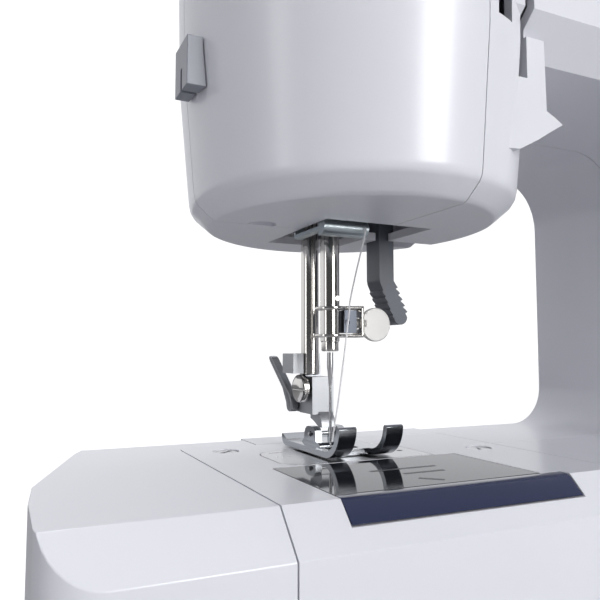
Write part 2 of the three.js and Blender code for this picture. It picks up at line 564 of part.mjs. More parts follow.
// Feed: a bar that lifts and, on it, the toothed dog that travels front to back
const behindHook = HOOK_Y + HOOK_RADIUS + 3.5;
addPiece('feed_bar', box(-7, 14, behindHook, 24, -18, -13.5), STEEL);
const dogTop = -0.95;
const teeth = FEED_ROWS.flatMap((row) => {
  const front = row[0] > 0 && row[1] < NEEDLE_SWING ? 3.5 : -4;
  const rows = [];
  for (let y = front; y < 9; y += 1.5) {
    const tooth = polygon([y, -5], [y + 1.5, -5], [y + 1.3, dogTop], [y, dogTop - 0.8]);
    rows.push(runAcross(tooth, row[0] + 0.3, row[1] - 0.3));
  }
  return rows;
});
addPiece('feed_dog', cut(
  join(
    box(-6, 12.8, -4, 10.5, -7.8, -4.9),
    box(-6, 12.8, behindHook + 2.5, 10.5, -13.2, -7.7),
    ...teeth,
  ),
  box(-2.2, NEEDLE_SWING + 2.2, -5, 2.5, -9, 0),
), STEEL);

// Needle bar: it slides in a frame that swings sideways for zigzag
addPiece('needle_bar_frame', cut(
  join(
    box(-6, 6, 4.2, 7.6, 82, SWING_PIVOT_Z + 5),
    box(-5.5, 5.5, -5.5, 5, 82, 88),
    box(-5.5, 5.5, -5.5, 5, 126, 132),
    box(-5, 5, -5, 5, SWING_PIVOT_Z - 5, SWING_PIVOT_Z + 5),
  ),
  upright(BAR_RADIUS + GAP, 0, 0, 80, 134, 20),
  lengthwise(2.5, 0, SWING_PIVOT_Z, -6, 8, 16),
), CASTING);
addPiece('needle_bar', turnedUp([[0, NEEDLE_BAR_BOTTOM], [BAR_RADIUS - 0.3, NEEDLE_BAR_BOTTOM],
  [BAR_RADIUS, NEEDLE_BAR_BOTTOM + 0.5], [BAR_RADIUS, NEEDLE_BAR_TOP], [0, NEEDLE_BAR_TOP]],
  0, 0, 24), CHROME);
const needleTop = NEEDLE_BAR_BOTTOM - GAP;
addPiece('needle', turnedUp([[0, NEEDLE_TIP], [0.28, NEEDLE_TIP + 2.2], [0.42, NEEDLE_TIP + 6],
  [0.42, 21], [0.98, 27.5], [0.98, needleTop], [0, needleTop]], 0, 0, 10), STEEL);

// Needle clamp: a strip bent round the bar, open at the front, with a block and a paddle screw
const CLAMP = { top: 45.9, bottom: 36, right: 10.6, sheet: 1 };
const strap = (z) => join(upright(BAR_RADIUS + GAP + 1.4, 0, 0, z, z + CLAMP.sheet, 24),
  box(0, CLAMP.right, -3, 3, z, z + CLAMP.sheet));
addPiece('needle_clamp', cut(
  join(
    strap(CLAMP.bottom),
    strap(CLAMP.top - CLAMP.sheet),
    box(CLAMP.right - CLAMP.sheet, CLAMP.right, -3, 3, CLAMP.bottom, CLAMP.top),
  ),
  upright(BAR_RADIUS + GAP, 0, 0, 30, 50, 24),
  crosswise(1.8, 0, 40.5, 8, 12, 16),
), STEEL);
addPiece('clamp_block', box(BAR_RADIUS + GAP + 0.1, 8, -2.6, 2.6, 37.4, 44.4).subtract(
  crosswise(1.8, 0, 40.5, 5.5, 9, 16)), STEEL);
addPiece('clamp_screw', join(
  crosswise(1.5, 0, 40.5, 6, 12.5, 12),
  lengthwise(5.4, 16.2, 40.2, -0.8, 0.8, 32),
), CHROME);

// Sewing thread from the bracket's lip, past the clamp, to the needle's eye
const threadRoute = new THREE.CatmullRomCurve3([
  [0.4, -21.2, 66.5], [-0.1, -21.2, 63.6], [2.3, -12.6, 55.5], [4.6, -4.6, 47.2], [4.4, -4.4, 44],
  [3.4, -4.2, 36], [2.6, -3.9, 29], [1.2, -2.8, 16], [0.45, -1.8, 9], [0.1, -0.95, 4.4],
].map(([x, y, z]) => new THREE.Vector3(x, y, z)));
const threadSection = new THREE.Shape().absarc(0, 0, 0.22, 0, Math.PI * 2);
addPiece('sewing_thread', solid(new THREE.ExtrudeGeometry(threadSection, {
  steps: 30, extrudePath: threadRoute, bevelEnabled: false, curveSegments: 3,
})), THREAD);

// Zinc guide bracket that hangs its rolled lip just below the head
addPiece('thread_guide_bracket', join(
  box(-12.4, 1.9, -18.6, -16, 65.6, 66.8),
  runAcross(roundedBox(-20.6, -18.2, 64.2, 74, 1.1), -12.4, 1.9),
  box(-12.4, -10.2, -18.6, -0.5, 65.6, 66.8),
  box(-12.4, -9.6, -1.6, -0.5, 65.6, 84),
), ZINC);

// Presser bar, its ankle, foot and lifter
addPiece('presser_bar', join(
  upright(BAR_RADIUS, 0, BAR_SPACING, PRESSER_BAR_BOTTOM, PRESSER_BAR_TOP, 24),
  box(-5.5, 5.5, BAR_SPACING - 4.2, BAR_SPACING + 4.5, 94, 102),
), CHROME);
const plateFront = BAR_SPACING + BAR_RADIUS + 0.4;
const ANKLE = {
  front: plateFront, back: plateFront + 3, screwZ: 19.6, pivotY: plateFront + 6.4, pivotZ: 13.6,
};
addPiece('foot_ankle', cut(
  join(
    box(-0.7, 5.5, ANKLE.front, ANKLE.back, 12, 31),
    box(-7, 0, ANKLE.front, ANKLE.back, 24.6, 31),
    box(-7, -BAR_RADIUS - 0.4, 12, ANKLE.back, 24.6, 31),
    box(-0.7, 7, 11, 20.6, 11.4, PRESSER_BAR_BOTTOM - GAP - 0.4),
    runAcross(polygon([11, 12], [17, 12], [17, 9.6], [14, 8.6], [10, 7.4], [8.4, 7.4], [9.4, 9.6]), 1.5, 6.5),
    box(0, 3, ANKLE.front, ANKLE.pivotY + 2, 11.4, 16),
  ),
  crosswise(1.9, 15.5, ANKLE.screwZ, -8, 4, 16),
  crosswise(1.3, ANKLE.pivotY, ANKLE.pivotZ, -1, 2.5, 12),
), CHROME);
addPiece('ankle_screw', join(
  crosswise(1.5, 15.5, ANKLE.screwZ, -2, 3.5, 12),
  turnedAcross([[0, -4.6], [3.4, -4.6], [4.5, -3.8], [4.5, -2.2], [3.6, -1.2], [0, -1.2]],
    15.5, ANKLE.screwZ, 24),
), CHROME);
const leverSection = polygon(...[[1.6, 11.6], [4.8, 11.4], [6, 13.6], [5.8, 17], [10, 28.6], [9, 30.2],
  [7.2, 29.8], [2.8, 18], [1.6, 15]].map(([behind, z]) => [ANKLE.back + behind, z]));
addPiece('foot_release_lever', join(
  runAcross(leverSection, -3.2, -0.4),
  crosswise(0.9, ANKLE.pivotY, ANKLE.pivotZ, -3.1, 2.1, 12),
), CHROME);

const SOLE = 0.35;
const footSection = polygon([24, SOLE], [-4.5, SOLE], [-8, 1], [-10.8, 2.9], [-12.8, 6], [-13.9, 9.6],
  [-12.3, 10], [-11.2, 6.8], [-9.4, 4.2], [-7, 2.8], [-4, 2.2], [22, 2.2], [25.8, 4], [27, 3.4], [26.4, 1.6]);
const FOOT_PIN = { y: 11, z: 5.4 };
const earSection = polygon([7, 1], [16, 1], [15.4, 6.6], [13, 7.8], [9.4, 7.8], [7.6, 6.4]);
const ear = (x0, x1) => runAcross(earSection, x0, x1);
addPiece('presser_foot', cut(
  join(runAcross(footSection, -4.5, 17.1), ear(-1.4, 0.9), ear(7.1, 9.4)),
  box(1.2, 11.3, -20, -4, -1, 12),
  raise(roundedBox(-1.6, 9.2, -2, 2, 1.5), -1, 12),
  box(12.5, 20, 15, 30, -1, 12),
  crosswise(0.9, FOOT_PIN.y, FOOT_PIN.z, -3, 11, 12),
), CHROME);
addPiece('foot_pin', crosswise(0.6, FOOT_PIN.y, FOOT_PIN.z, -2.2, 10.2, 12), STEEL);

// Lifter: a ribbed plastic lever on a pin in the frame
const ribs = [];
for (let k = 0; k < 5; k += 1) {
  const z = 51 - k * 2;
  const x = LIFTER.right + (54 - z) * 0.43;
  ribs.push(lengthwise(0.8, x, z, LIFTER.front, LIFTER.back, 8));
}
const lifterSection = new THREE.Shape();
lifterSection.absarc(lifterMid, LIFTER.pivotZ, 4.6, 0, Math.PI);
lifterSection.lineTo(LIFTER.left, 75);
lifterSection.lineTo(LIFTER.left, 54.4);
lifterSection.lineTo(LIFTER.left + 5.4, 43);
lifterSection.absarc(LIFTER.left + 8, 43, 2.6, Math.PI, Math.PI * 2);
lifterSection.lineTo(LIFTER.right, 54);
lifterSection.lineTo(LIFTER.right, 75);
addPiece('presser_lifter', cut(
  join(runBack(lifterSection, LIFTER.front, LIFTER.back), ...ribs),
  lengthwise(2.4, lifterMid, LIFTER.pivotZ, 0, 20, 16),
), DARK);

// Take-up lever and the thread's tension wheel
const TAKE_UP = { y: -10, z: 125, eyeY: -56, eyeZ: 150 };
addPiece('take_up_lever', cut(
  join(
    crosswise(4.6, TAKE_UP.y, TAKE_UP.z, 14, 16.6, 16),
    runAcross(polygon([TAKE_UP.y - 2, TAKE_UP.z - 4], [TAKE_UP.y + 3, TAKE_UP.z + 3],
      [TAKE_UP.eyeY + 2, TAKE_UP.eyeZ + 2.6], [TAKE_UP.eyeY - 1, TAKE_UP.eyeZ - 2.2]), 14, 16.6),
    crosswise(3, TAKE_UP.eyeY, TAKE_UP.eyeZ, 14, 16.6, 16),
  ),
  crosswise(2.3, TAKE_UP.y, TAKE_UP.z, 13, 18, 12),
  crosswise(1.3, TAKE_UP.eyeY, TAKE_UP.eyeZ, 13, 18, 10),
), STEEL);
addPiece('tension_wheel', turnedAcross([[0, TENSION.left], [TENSION.radius - 1, TENSION.left],
  [TENSION.radius, TENSION.left + 1], [TENSION.radius, TENSION.right - 1],
  [TENSION.radius - 1, TENSION.right], [0, TENSION.right]], TENSION.y, TENSION.z, 32), WHITE);

// Front controls
function knob(radius, depth, x, z) {
  const face = BODY_FRONT - GAP;
  return join(
    turnedBack([[0, face - depth], [radius - 2, face - depth], [radius - 1, face - depth + 1.5],
      [radius, face], [0, face]], x, z, 32),
    box(x - 1.8, x + 1.8, face - depth - 2, face - depth + 0.1, z - radius + 3, z + radius - 3),
    lengthwise(3, x, z, face - 1, -30, 16),
  );
}
addPiece('pattern_dial', knob(20, 10, DIALS.x, DIALS.patternZ), WHITE);
addPiece('stitch_length_dial', knob(13, 9, DIALS.x, DIALS.lengthZ), WHITE);
addPiece('reverse_lever', join(
  runBack(roundedBox(DIALS.x - 13, DIALS.x + 13, DIALS.leverZ - 6, DIALS.leverZ + 6, 5),
    BODY_FRONT - 8, BODY_FRONT - 3),
  box(DIALS.x - 3, DIALS.x + 3, BODY_FRONT - 4, -34, DIALS.leverZ - 2, DIALS.leverZ + 2),
), WHITE);

// Carry handle folded into its pocket, spool pins, bobbin winder and thread guide on top
const handleZ = HANDLE.z;
const handleArm = (x0) => join(
  box(x0, x0 + HANDLE.arm, HANDLE.front + 1, HANDLE.pivotY, handleZ - HANDLE.radius, handleZ + HANDLE.radius),
  crosswise(HANDLE.radius, HANDLE.pivotY, handleZ, x0, x0 + HANDLE.arm, 20),
);
addPiece('carry_handle', join(
  handleArm(HANDLE.left),
  handleArm(HANDLE.right - HANDLE.arm),
  crosswise(1.6, HANDLE.pivotY, handleZ, HANDLE.left - 5.5, HANDLE.left + 1, 12),
  crosswise(1.6, HANDLE.pivotY, handleZ, HANDLE.right - 1, HANDLE.right + 5.5, 12),
  box(HANDLE.left, HANDLE.right, HANDLE.front + 1, HANDLE.front + 8, handleZ - HANDLE.radius,
    handleZ + HANDLE.radius),
), GREY);
SPOOL_PINS.forEach((x, k) => {
  addPiece(`spool_pin_${k + 1}`, turnedUp([[0, 136], [2.6, 136], [2.6, ARM_TOP + GAP], [5.5, ARM_TOP + GAP],
    [5.5, ARM_TOP + 2.5], [2.6, ARM_TOP + 3.5], [0, ARM_TOP + 3.5]], x, SPOOL_PIN_Y, 16), WHITE);
});
addPiece('winder_arm', cut(
  join(box(WINDER.x - 10, WINDER.x + 10, WINDER.y - 8, WINDER.y + 8, 166, 170),
    upright(4.2, WINDER.x, WINDER.y, 169, ARM_TOP + 1, 20)),
  upright(2.6, WINDER.x, WINDER.y, 160, ARM_TOP + 5, 16),
), WHITE);
addPiece('winder_spindle', turnedUp([[0, 160], [2.3, 160], [2.3, ARM_TOP + 1.3], [8, ARM_TOP + 1.3],
  [8, ARM_TOP + 2.8], [2.9, ARM_TOP + 2.8], [2.9, ARM_TOP + 14], [2, ARM_TOP + 15], [0, ARM_TOP + 15]],
  WINDER.x, WINDER.y, 20), WHITE);
addPiece('winder_stop', upright(4, WINDER.x - 19.5, WINDER.y, ARM_TOP + GAP, ARM_TOP + 10, 20), WHITE);
addPiece('top_thread_guide', join(
  box(24, 30, 6, 9, ARM_TOP + GAP, ARM_TOP + 1.3),
  box(24, 25, 6, 9, ARM_TOP + 1, ARM_TOP + 9),
  box(24, 30, 6, 9, ARM_TOP + 8, ARM_TOP + 9),
  box(29, 30, 6, 9, ARM_TOP + 5, ARM_TOP + 9),
), CHROME);

// Thread cutter on the left of the face cover
const cutterX = HEAD_X - (HEAD_DEPTH_RADIUS + 3.6) * HEAD_ROUNDNESS;
addPiece('thread_cutter', cut(box(cutterX - 3.3, cutterX + 8, -22, -10, 99, 112), headCup(-GAP)), GREY);

// Rocker switch and supply inlet in the right end of the base
const rockerSection = polygon([BODY_RIGHT - 12, SWITCH.z], [BODY_RIGHT - 4, SWITCH.z + 10],
  [BODY_RIGHT + 2.6, SWITCH.z + 10], [BODY_RIGHT - 0.4, SWITCH.z], [BODY_RIGHT + 0.4, SWITCH.z - 10],
  [BODY_RIGHT - 4, SWITCH.z - 10]);
addPiece('power_switch', runBack(rockerSection, SWITCH.y - 7, SWITCH.y + 7), DARK);
addPiece('inlet_socket', cut(
  box(BODY_RIGHT - 18, BODY_RIGHT - 0.2, SOCKET.y - 10.6, SOCKET.y + 10.6, SOCKET.z - 7.6, SOCKET.z + 7.6),
  runAcross(roundedBox(SOCKET.y - 8, SOCKET.y + 8, SOCKET.z - 4.5, SOCKET.z + 4.5, 4), BODY_RIGHT - 15,
    BODY_RIGHT + 1),
), DARK);

const bounds = new THREE.Box3().setFromObject(machine);
const middle = bounds.getCenter(new THREE.Vector3());
machine.position.set(-middle.x, -middle.y, -bounds.min.z);
const part = new THREE.Group();
part.add(machine);

export default part;
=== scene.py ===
import math

import bmesh
import bpy
from mathutils import Matrix, Vector


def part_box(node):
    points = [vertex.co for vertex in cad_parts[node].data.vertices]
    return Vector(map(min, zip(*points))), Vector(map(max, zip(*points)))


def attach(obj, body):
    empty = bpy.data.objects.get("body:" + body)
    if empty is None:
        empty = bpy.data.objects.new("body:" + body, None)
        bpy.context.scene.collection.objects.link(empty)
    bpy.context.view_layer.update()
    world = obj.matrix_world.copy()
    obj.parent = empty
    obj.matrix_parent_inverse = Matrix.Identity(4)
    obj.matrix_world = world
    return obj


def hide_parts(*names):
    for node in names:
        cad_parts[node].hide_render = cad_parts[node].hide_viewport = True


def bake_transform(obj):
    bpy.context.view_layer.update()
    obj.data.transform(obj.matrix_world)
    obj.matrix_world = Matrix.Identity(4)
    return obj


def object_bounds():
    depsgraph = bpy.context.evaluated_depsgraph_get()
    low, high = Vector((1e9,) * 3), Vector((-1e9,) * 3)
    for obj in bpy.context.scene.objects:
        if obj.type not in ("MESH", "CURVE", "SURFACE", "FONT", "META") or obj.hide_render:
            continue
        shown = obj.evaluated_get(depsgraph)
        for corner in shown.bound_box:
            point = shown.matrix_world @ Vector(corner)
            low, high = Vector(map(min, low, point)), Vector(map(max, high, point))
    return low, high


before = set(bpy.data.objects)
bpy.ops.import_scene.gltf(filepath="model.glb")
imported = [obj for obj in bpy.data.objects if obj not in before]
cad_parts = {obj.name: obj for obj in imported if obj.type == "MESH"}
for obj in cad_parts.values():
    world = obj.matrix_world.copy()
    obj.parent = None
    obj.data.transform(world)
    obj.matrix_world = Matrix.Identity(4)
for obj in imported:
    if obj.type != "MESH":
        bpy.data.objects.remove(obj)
cad_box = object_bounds()

# Origin of the work: the needle's axis where it meets the top of the bed. Pieces are shaped in
# millimetres around that point, X to the handwheel, Y away from the operator, Z up.
MM = 0.001
needle_low, needle_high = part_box("needle")
bed_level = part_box("needle_plate")[1].z
ORIGIN = Vector(((needle_low.x + needle_high.x) / 2, (needle_low.y + needle_high.y) / 2, bed_level))
TO_FRAME = Matrix.Translation(ORIGIN) @ Matrix.Scale(MM, 4)

# Camera: low in front of the bed, a little left of the needle, looking slightly up at the head. Its
# place is in the work's millimetres.
camera_data = bpy.data.cameras.new("camera")
camera_data.lens = 38.5
camera_data.sensor_width = 36
camera_data.clip_start = 0.01
camera = bpy.data.objects.new("camera", camera_data)
bpy.context.scene.collection.objects.link(camera)
camera.location = TO_FRAME @ Vector((-92.3, -176.0, 32.1))
camera.rotation_euler = (math.radians(90 + 4.46), 0, math.radians(-25))
bpy.context.scene.camera = camera

# Studio: a pale floor, a white surround and three soft boxes. Polished metal sees the surround dark in
# front and light behind, as in a room with a bright back wall.
FLOOR_REACH = 6


def studio_light(name, size, power, place, aim):
    lamp = bpy.data.lights.new(name, "AREA")
    lamp.shape = "RECTANGLE"
    lamp.size, lamp.size_y = size
    lamp.energy = power
    holder = bpy.data.objects.new(name, lamp)
    bpy.context.scene.collection.objects.link(holder)
    holder.location = place
    holder.rotation_euler = (Vector(aim) - Vector(place)).to_track_quat("-Z", "Y").to_euler()
    return holder


bpy.context.scene.view_settings.view_transform = "Standard"
world = bpy.data.worlds.new("surround")
bpy.context.scene.world = world
world.use_nodes = True
world_nodes = world.node_tree.nodes
world_links = world.node_tree.links
world_nodes.clear()
seen = world_nodes.new("ShaderNodeBackground")
seen.inputs["Color"].default_value = (1, 1, 1, 1)
seen.inputs["Strength"].default_value = 1.1
lighting = world_nodes.new("ShaderNodeBackground")
lighting.inputs["Color"].default_value = (0.93, 0.94, 1, 1)
lighting.inputs["Strength"].default_value = 0.37
mirrored = world_nodes.new("ShaderNodeBackground")
mirrored.inputs["Color"].default_value = (0.96, 0.97, 1, 1)
direction = world_nodes.new("ShaderNodeTexCoord")
parts = world_nodes.new("ShaderNodeSeparateXYZ")
far_wall = world_nodes.new("ShaderNodeMapRange")
far_wall.inputs["From Min"].default_value = -0.35
far_wall.inputs["From Max"].default_value = 0.45
far_wall.inputs["To Min"].default_value = 0.07
far_wall.inputs["To Max"].default_value = 0.95
world_links.new(direction.outputs["Generated"], parts.inputs[0])
world_links.new(parts.outputs["Y"], far_wall.inputs["Value"])
world_links.new(far_wall.outputs[0], mirrored.inputs["Strength"])
ray = world_nodes.new("ShaderNodeLightPath")
polished = world_nodes.new("ShaderNodeMixShader")
chooser = world_nodes.new("ShaderNodeMixShader")
world_out = world_nodes.new("ShaderNodeOutputWorld")
world_links.new(ray.outputs["Is Glossy Ray"], polished.inputs[0])
world_links.new(lighting.outputs[0], polished.inputs[1])
world_links.new(mirrored.outputs[0], polished.inputs[2])
world_links.new(ray.outputs["Is Camera Ray"], chooser.inputs[0])
world_links.new(polished.outputs[0], chooser.inputs[1])
world_links.new(seen.outputs[0], chooser.inputs[2])
world_links.new(chooser.outputs[0], world_out.inputs[0])

studio_light("right_box", (0.5, 0.9), 12.5, (0.32, -1.2, 0.5), (-0.03, 0, 0.16))
studio_light("left_box", (0.2, 0.9), 1.6, (-1.15, -0.2, 0.45), (-0.05, 0, 0.14))
studio_light("top_box", (0.9, 0.6), 4.6, (0.05, 0.2, 1.15), (0, 0, 0.1))

floor_mesh = bpy.data.meshes.new("floor")
floor_bm = bmesh.new()
bmesh.ops.create_grid(floor_bm, x_segments=1, y_segments=1, size=FLOOR_REACH)
floor_bm.to_mesh(floor_mesh)
floor_bm.free()
floor = bpy.data.objects.new("floor", floor_mesh)
bpy.context.scene.collection.objects.link(floor)
floor.location.z = cad_box[0][2]
floor_paper = bpy.data.materials.new("floor_paper")
floor_paper.use_nodes = True
paper_nodes = floor_paper.node_tree.nodes
paper_links = floor_paper.node_tree.links
paper = paper_nodes["Principled BSDF"]
paper.inputs["Base Color"].default_value = (0.4, 0.4, 0.41, 1)
paper.inputs["Roughness"].default_value = 0.9
paper.inputs["Specular IOR Level"].default_value = 0.1
glow = paper_nodes.new("ShaderNodeEmission")
glow.inputs["Strength"].default_value = 0.85
paper_ray = paper_nodes.new("ShaderNodeLightPath")
paper_glow = paper_nodes.new("ShaderNodeMixShader")
paper_sum = paper_nodes.new("ShaderNodeAddShader")
paper_links.new(paper_ray.outputs["Is Camera Ray"], paper_glow.inputs[0])
paper_links.new(glow.outputs[0], paper_glow.inputs[2])
paper_links.new(paper.outputs[0], paper_sum.inputs[0])
paper_links.new(paper_glow.outputs[0], paper_sum.inputs[1])
paper_links.new(paper_sum.outputs[0], paper_nodes["Material Output"].inputs["Surface"])
floor_mesh.materials.append(floor_paper)


# Body shells: white moulded covers, 2.5 mm thick, that meet in fine seams. The arm, column and base
# are one C-shaped box, and the head is a deep oval cup at the left end of the arm.
def slab(bm, low, high):
    """A plain box between two corners."""
    centre = (Vector(low) + Vector(high)) / 2
    size = Vector(high) - Vector(low)
    place = Matrix.Translation(centre) @ Matrix.Diagonal((*size, 1))
    return bmesh.ops.create_cube(bm, size=1, matrix=place)["verts"]


def extruded(bm, outline, axis, start, end):
    """A closed outline run along an axis. Outline pairs are the other two axes in order."""
    def point(u, v, w):
        return {"x": (w, u, v), "y": (u, w, v), "z": (u, v, w)}[axis]

    near = [bm.verts.new(point(u, v, start)) for u, v in outline]
    far = [bm.verts.new(point(u, v, end)) for u, v in outline]
    count = len(outline)
    for k in range(count):
        bm.faces.new((near[k], near[(k + 1) % count], far[(k + 1) % count], far[k]))
    bm.faces.new(near[::-1])
    bm.faces.new(far)
    return near + far


def turned(bm, profile, axis, centre, steps=48):
    """A profile of (radius, distance) pairs spun about an axis through a centre."""
    rings = []
    for radius, along in profile:
        ring = []
        if radius < 1e-6:
            angles = [0]
        else:
            angles = [2 * math.pi * k / steps for k in range(steps)]
        for angle in angles:
            u = centre[0] + radius * math.cos(angle)
            v = centre[1] + radius * math.sin(angle)
            place = {"x": (along, u, v), "y": (u, along, v), "z": (u, v, along)}[axis]
            ring.append(bm.verts.new(place))
        rings.append(ring)
    for lower, upper in zip(rings, rings[1:]):
        for k in range(steps):
            corners = [lower[k % len(lower)], lower[(k + 1) % len(lower)],
                       upper[(k + 1) % len(upper)], upper[k % len(upper)]]
            seen_corners = list(dict.fromkeys(corners))
            if len(seen_corners) > 2:
                bm.faces.new(seen_corners)
    for ring, turned_over in ((rings[0], True), (rings[-1], False)):
        if len(ring) > 1:
            bm.faces.new(ring[::-1] if turned_over else ring)
    return [v for ring in rings for v in ring]


def arc(centre, radius, start, end, steps=6):
    """Points of an arc from one angle to another, in degrees."""
    return [(centre[0] + radius * math.cos(math.radians(start + (end - start) * k / steps)),
             centre[1] + radius * math.sin(math.radians(start + (end - start) * k / steps)))
            for k in range(steps + 1)]


def carve(bm, cutter, operation="DIFFERENCE"):
    """Cuts, joins or intersects two closed bodies and returns the result."""
    holders = []
    for label, part_bm in (("body", bm), ("tool", cutter)):
        bmesh.ops.recalc_face_normals(part_bm, faces=part_bm.faces)
        mesh = bpy.data.meshes.new(label)
        part_bm.to_mesh(mesh)
        part_bm.free()
        holder = bpy.data.objects.new(label, mesh)
        bpy.context.scene.collection.objects.link(holder)
        holders.append(holder)
    whole, tool = holders
    boolean = whole.modifiers.new("cut", "BOOLEAN")
    boolean.operation = operation
    boolean.solver = "MANIFOLD"
    boolean.object = tool
    bpy.context.view_layer.update()
    shaped = whole.evaluated_get(bpy.context.evaluated_depsgraph_get()).to_mesh()
    result = bmesh.new()
    result.from_mesh(shaped)
    for holder in holders:
        mesh = holder.data
        bpy.data.objects.remove(holder)
        bpy.data.meshes.remove(mesh)
    return result


WALL = 2.5
SEAM = 0.3
BED_HEIGHT = 82.0
FOOT_HEIGHT = 4.0
ARM_CLEARANCE = 109.0
ARM_TOP = 181.0
THROAT = 129.0
BODY_RIGHT = 205.0
BODY_FRONT = -60.0
BODY_BACK = 47.0
BASE_BOTTOM = FOOT_HEIGHT - BED_HEIGHT
FREE_ARM_LEFT = -38.3
FREE_ARM_RIGHT = 62.7
FREE_ARM_BACK = 31.0
REAR_STRIP_LEFT = -12.0
HEAD_CENTRE = (0.4, -9.5)
HEAD_BOTTOM = 67.7
HEAD_ROUNDNESS = 0.887
HEAD_TURNS = 144


def body_outline(inset):
    """The C seen from the front, with its inner corners rounded."""
    top = 14 - inset
    upper = 22 + inset
    lower = 16 + inset
    points = [(FREE_ARM_RIGHT, BASE_BOTTOM + inset), (BODY_RIGHT - inset, BASE_BOTTOM + inset)]
    points += arc((BODY_RIGHT - 14, ARM_TOP - 14), top, 0, 90, 8)
    points += [(HEAD_CENTRE[0], ARM_TOP - inset), (HEAD_CENTRE[0], ARM_CLEARANCE + inset)]
    points += arc((THROAT - 22, ARM_CLEARANCE - 22), upper, 90, 0, 14)
    points += arc((THROAT - 16, 16), lower, 0, -90, 12)
    points += [(FREE_ARM_RIGHT, -inset)]
    return points


def chamfered_body(chamfer, bevel, inset):
    """The C run from front to back, its front edges cut at 45 degrees and each corner of the cut rounded."""
    bm = bmesh.new()
    layers = [
        (BODY_FRONT + inset, chamfer),
        (BODY_FRONT + inset + chamfer, 0),
        (BODY_BACK - inset - bevel, 0),
        (BODY_BACK - inset, bevel),
    ]
    rings = [[bm.verts.new((u, depth, w)) for u, w in body_outline(inset + drawn)] for depth,
             drawn in layers]
    count = len(rings[0])
    for front, back in zip(rings, rings[1:]):
        for k in range(count):
            bm.faces.new((front[k], front[(k + 1) % count], back[(k + 1) % count], back[k]))
    bm.faces.new(rings[0][::-1])
    bm.faces.new(rings[-1])
    return bm


def head_cup(inset):
    """The oval cup: a soft lip at the bottom, nearly straight sides and a rounded top."""
    lip = 51.7 - inset
    bottom = HEAD_BOTTOM + inset
    profile = [(0, bottom), (lip - 7.0, bottom), (lip - 5.9, bottom + 0.35), (lip - 4.9, bottom + 1.1)]
    profile += [(lip - 1.2, HEAD_BOTTOM + 4.0 + inset * 0.4), (lip - 0.3, HEAD_BOTTOM + 5.3 + inset * 0.4),
                (lip + 0.1, HEAD_BOTTOM + 7.0 + inset * 0.4), (lip + 3.6, ARM_CLEARANCE), (lip + 4.6, 150)]
    profile += [(lip + 5, 165), (lip + 4.3, 170 - inset * 0.3), (lip + 2.8, 174 - inset * 0.5),
                (lip + 0.2, 177.4 - inset * 0.8), (lip - 3.5, 179.9 - inset), (lip - 7, ARM_TOP - inset),
                (0, ARM_TOP - inset)]
    bm = bmesh.new()
    turned(bm, profile, "z", (0, 0), HEAD_TURNS)
    bmesh.ops.scale(bm, vec=(HEAD_ROUNDNESS, 1, 1), verts=bm.verts)
    bmesh.ops.translate(bm, vec=(*HEAD_CENTRE, 0), verts=bm.verts)
    return bm


def block(*corners):
    """A closed box for cutting, given as x0, x1, y0, y1, z0, z1."""
    bm = bmesh.new()
    slab(bm, corners[0::2], corners[1::2])
    return bm


def rod(axis, centre, radius, start, end, steps=32):
    """A closed round bar for cutting."""
    bm = bmesh.new()
    turned(bm, [(0, start), (radius, start), (radius, end), (0, end)], axis, centre, steps)
    return bm


def prism(outline, axis, start, end):
    """A closed outline body for cutting."""
    bm = bmesh.new()
    extruded(bm, outline, axis, start, end)
    return bm


FAR = 400.0
arm_and_column = chamfered_body(9.0, 4.0, 0.0)
arm_hollow = chamfered_body(8.0, 3.5, WALL)
gusset = prism([(20, 82), (24, 82.3), (30, 85.4), (35, 88.4), (38.8, 90.6), (36, 92.2), (33.3, 93.4),
                (33, 112), (20, 112)],
               "y", BODY_FRONT + 3, -40)
rear_strip = block(REAR_STRIP_LEFT, FREE_ARM_RIGHT + 1, FREE_ARM_BACK + SEAM, BODY_BACK, BASE_BOTTOM, 0)
outer = carve(arm_and_column, head_cup(0.0), "UNION")
outer = carve(outer, gusset, "UNION")
outer = carve(outer, rear_strip, "UNION")
inner = carve(arm_hollow, head_cup(WALL), "UNION")
inner = carve(inner, block(REAR_STRIP_LEFT + WALL, FREE_ARM_RIGHT + 6, FREE_ARM_BACK + WALL,
                           BODY_BACK - WALL, BASE_BOTTOM + WALL, -WALL), "UNION")
handle_pocket = (53, 157, 10, 38, 172.6, FAR)
inner = carve(inner, block(50.5, 159.5, 7.5, 40.5, 170.1, FAR))
shell = carve(outer, inner)
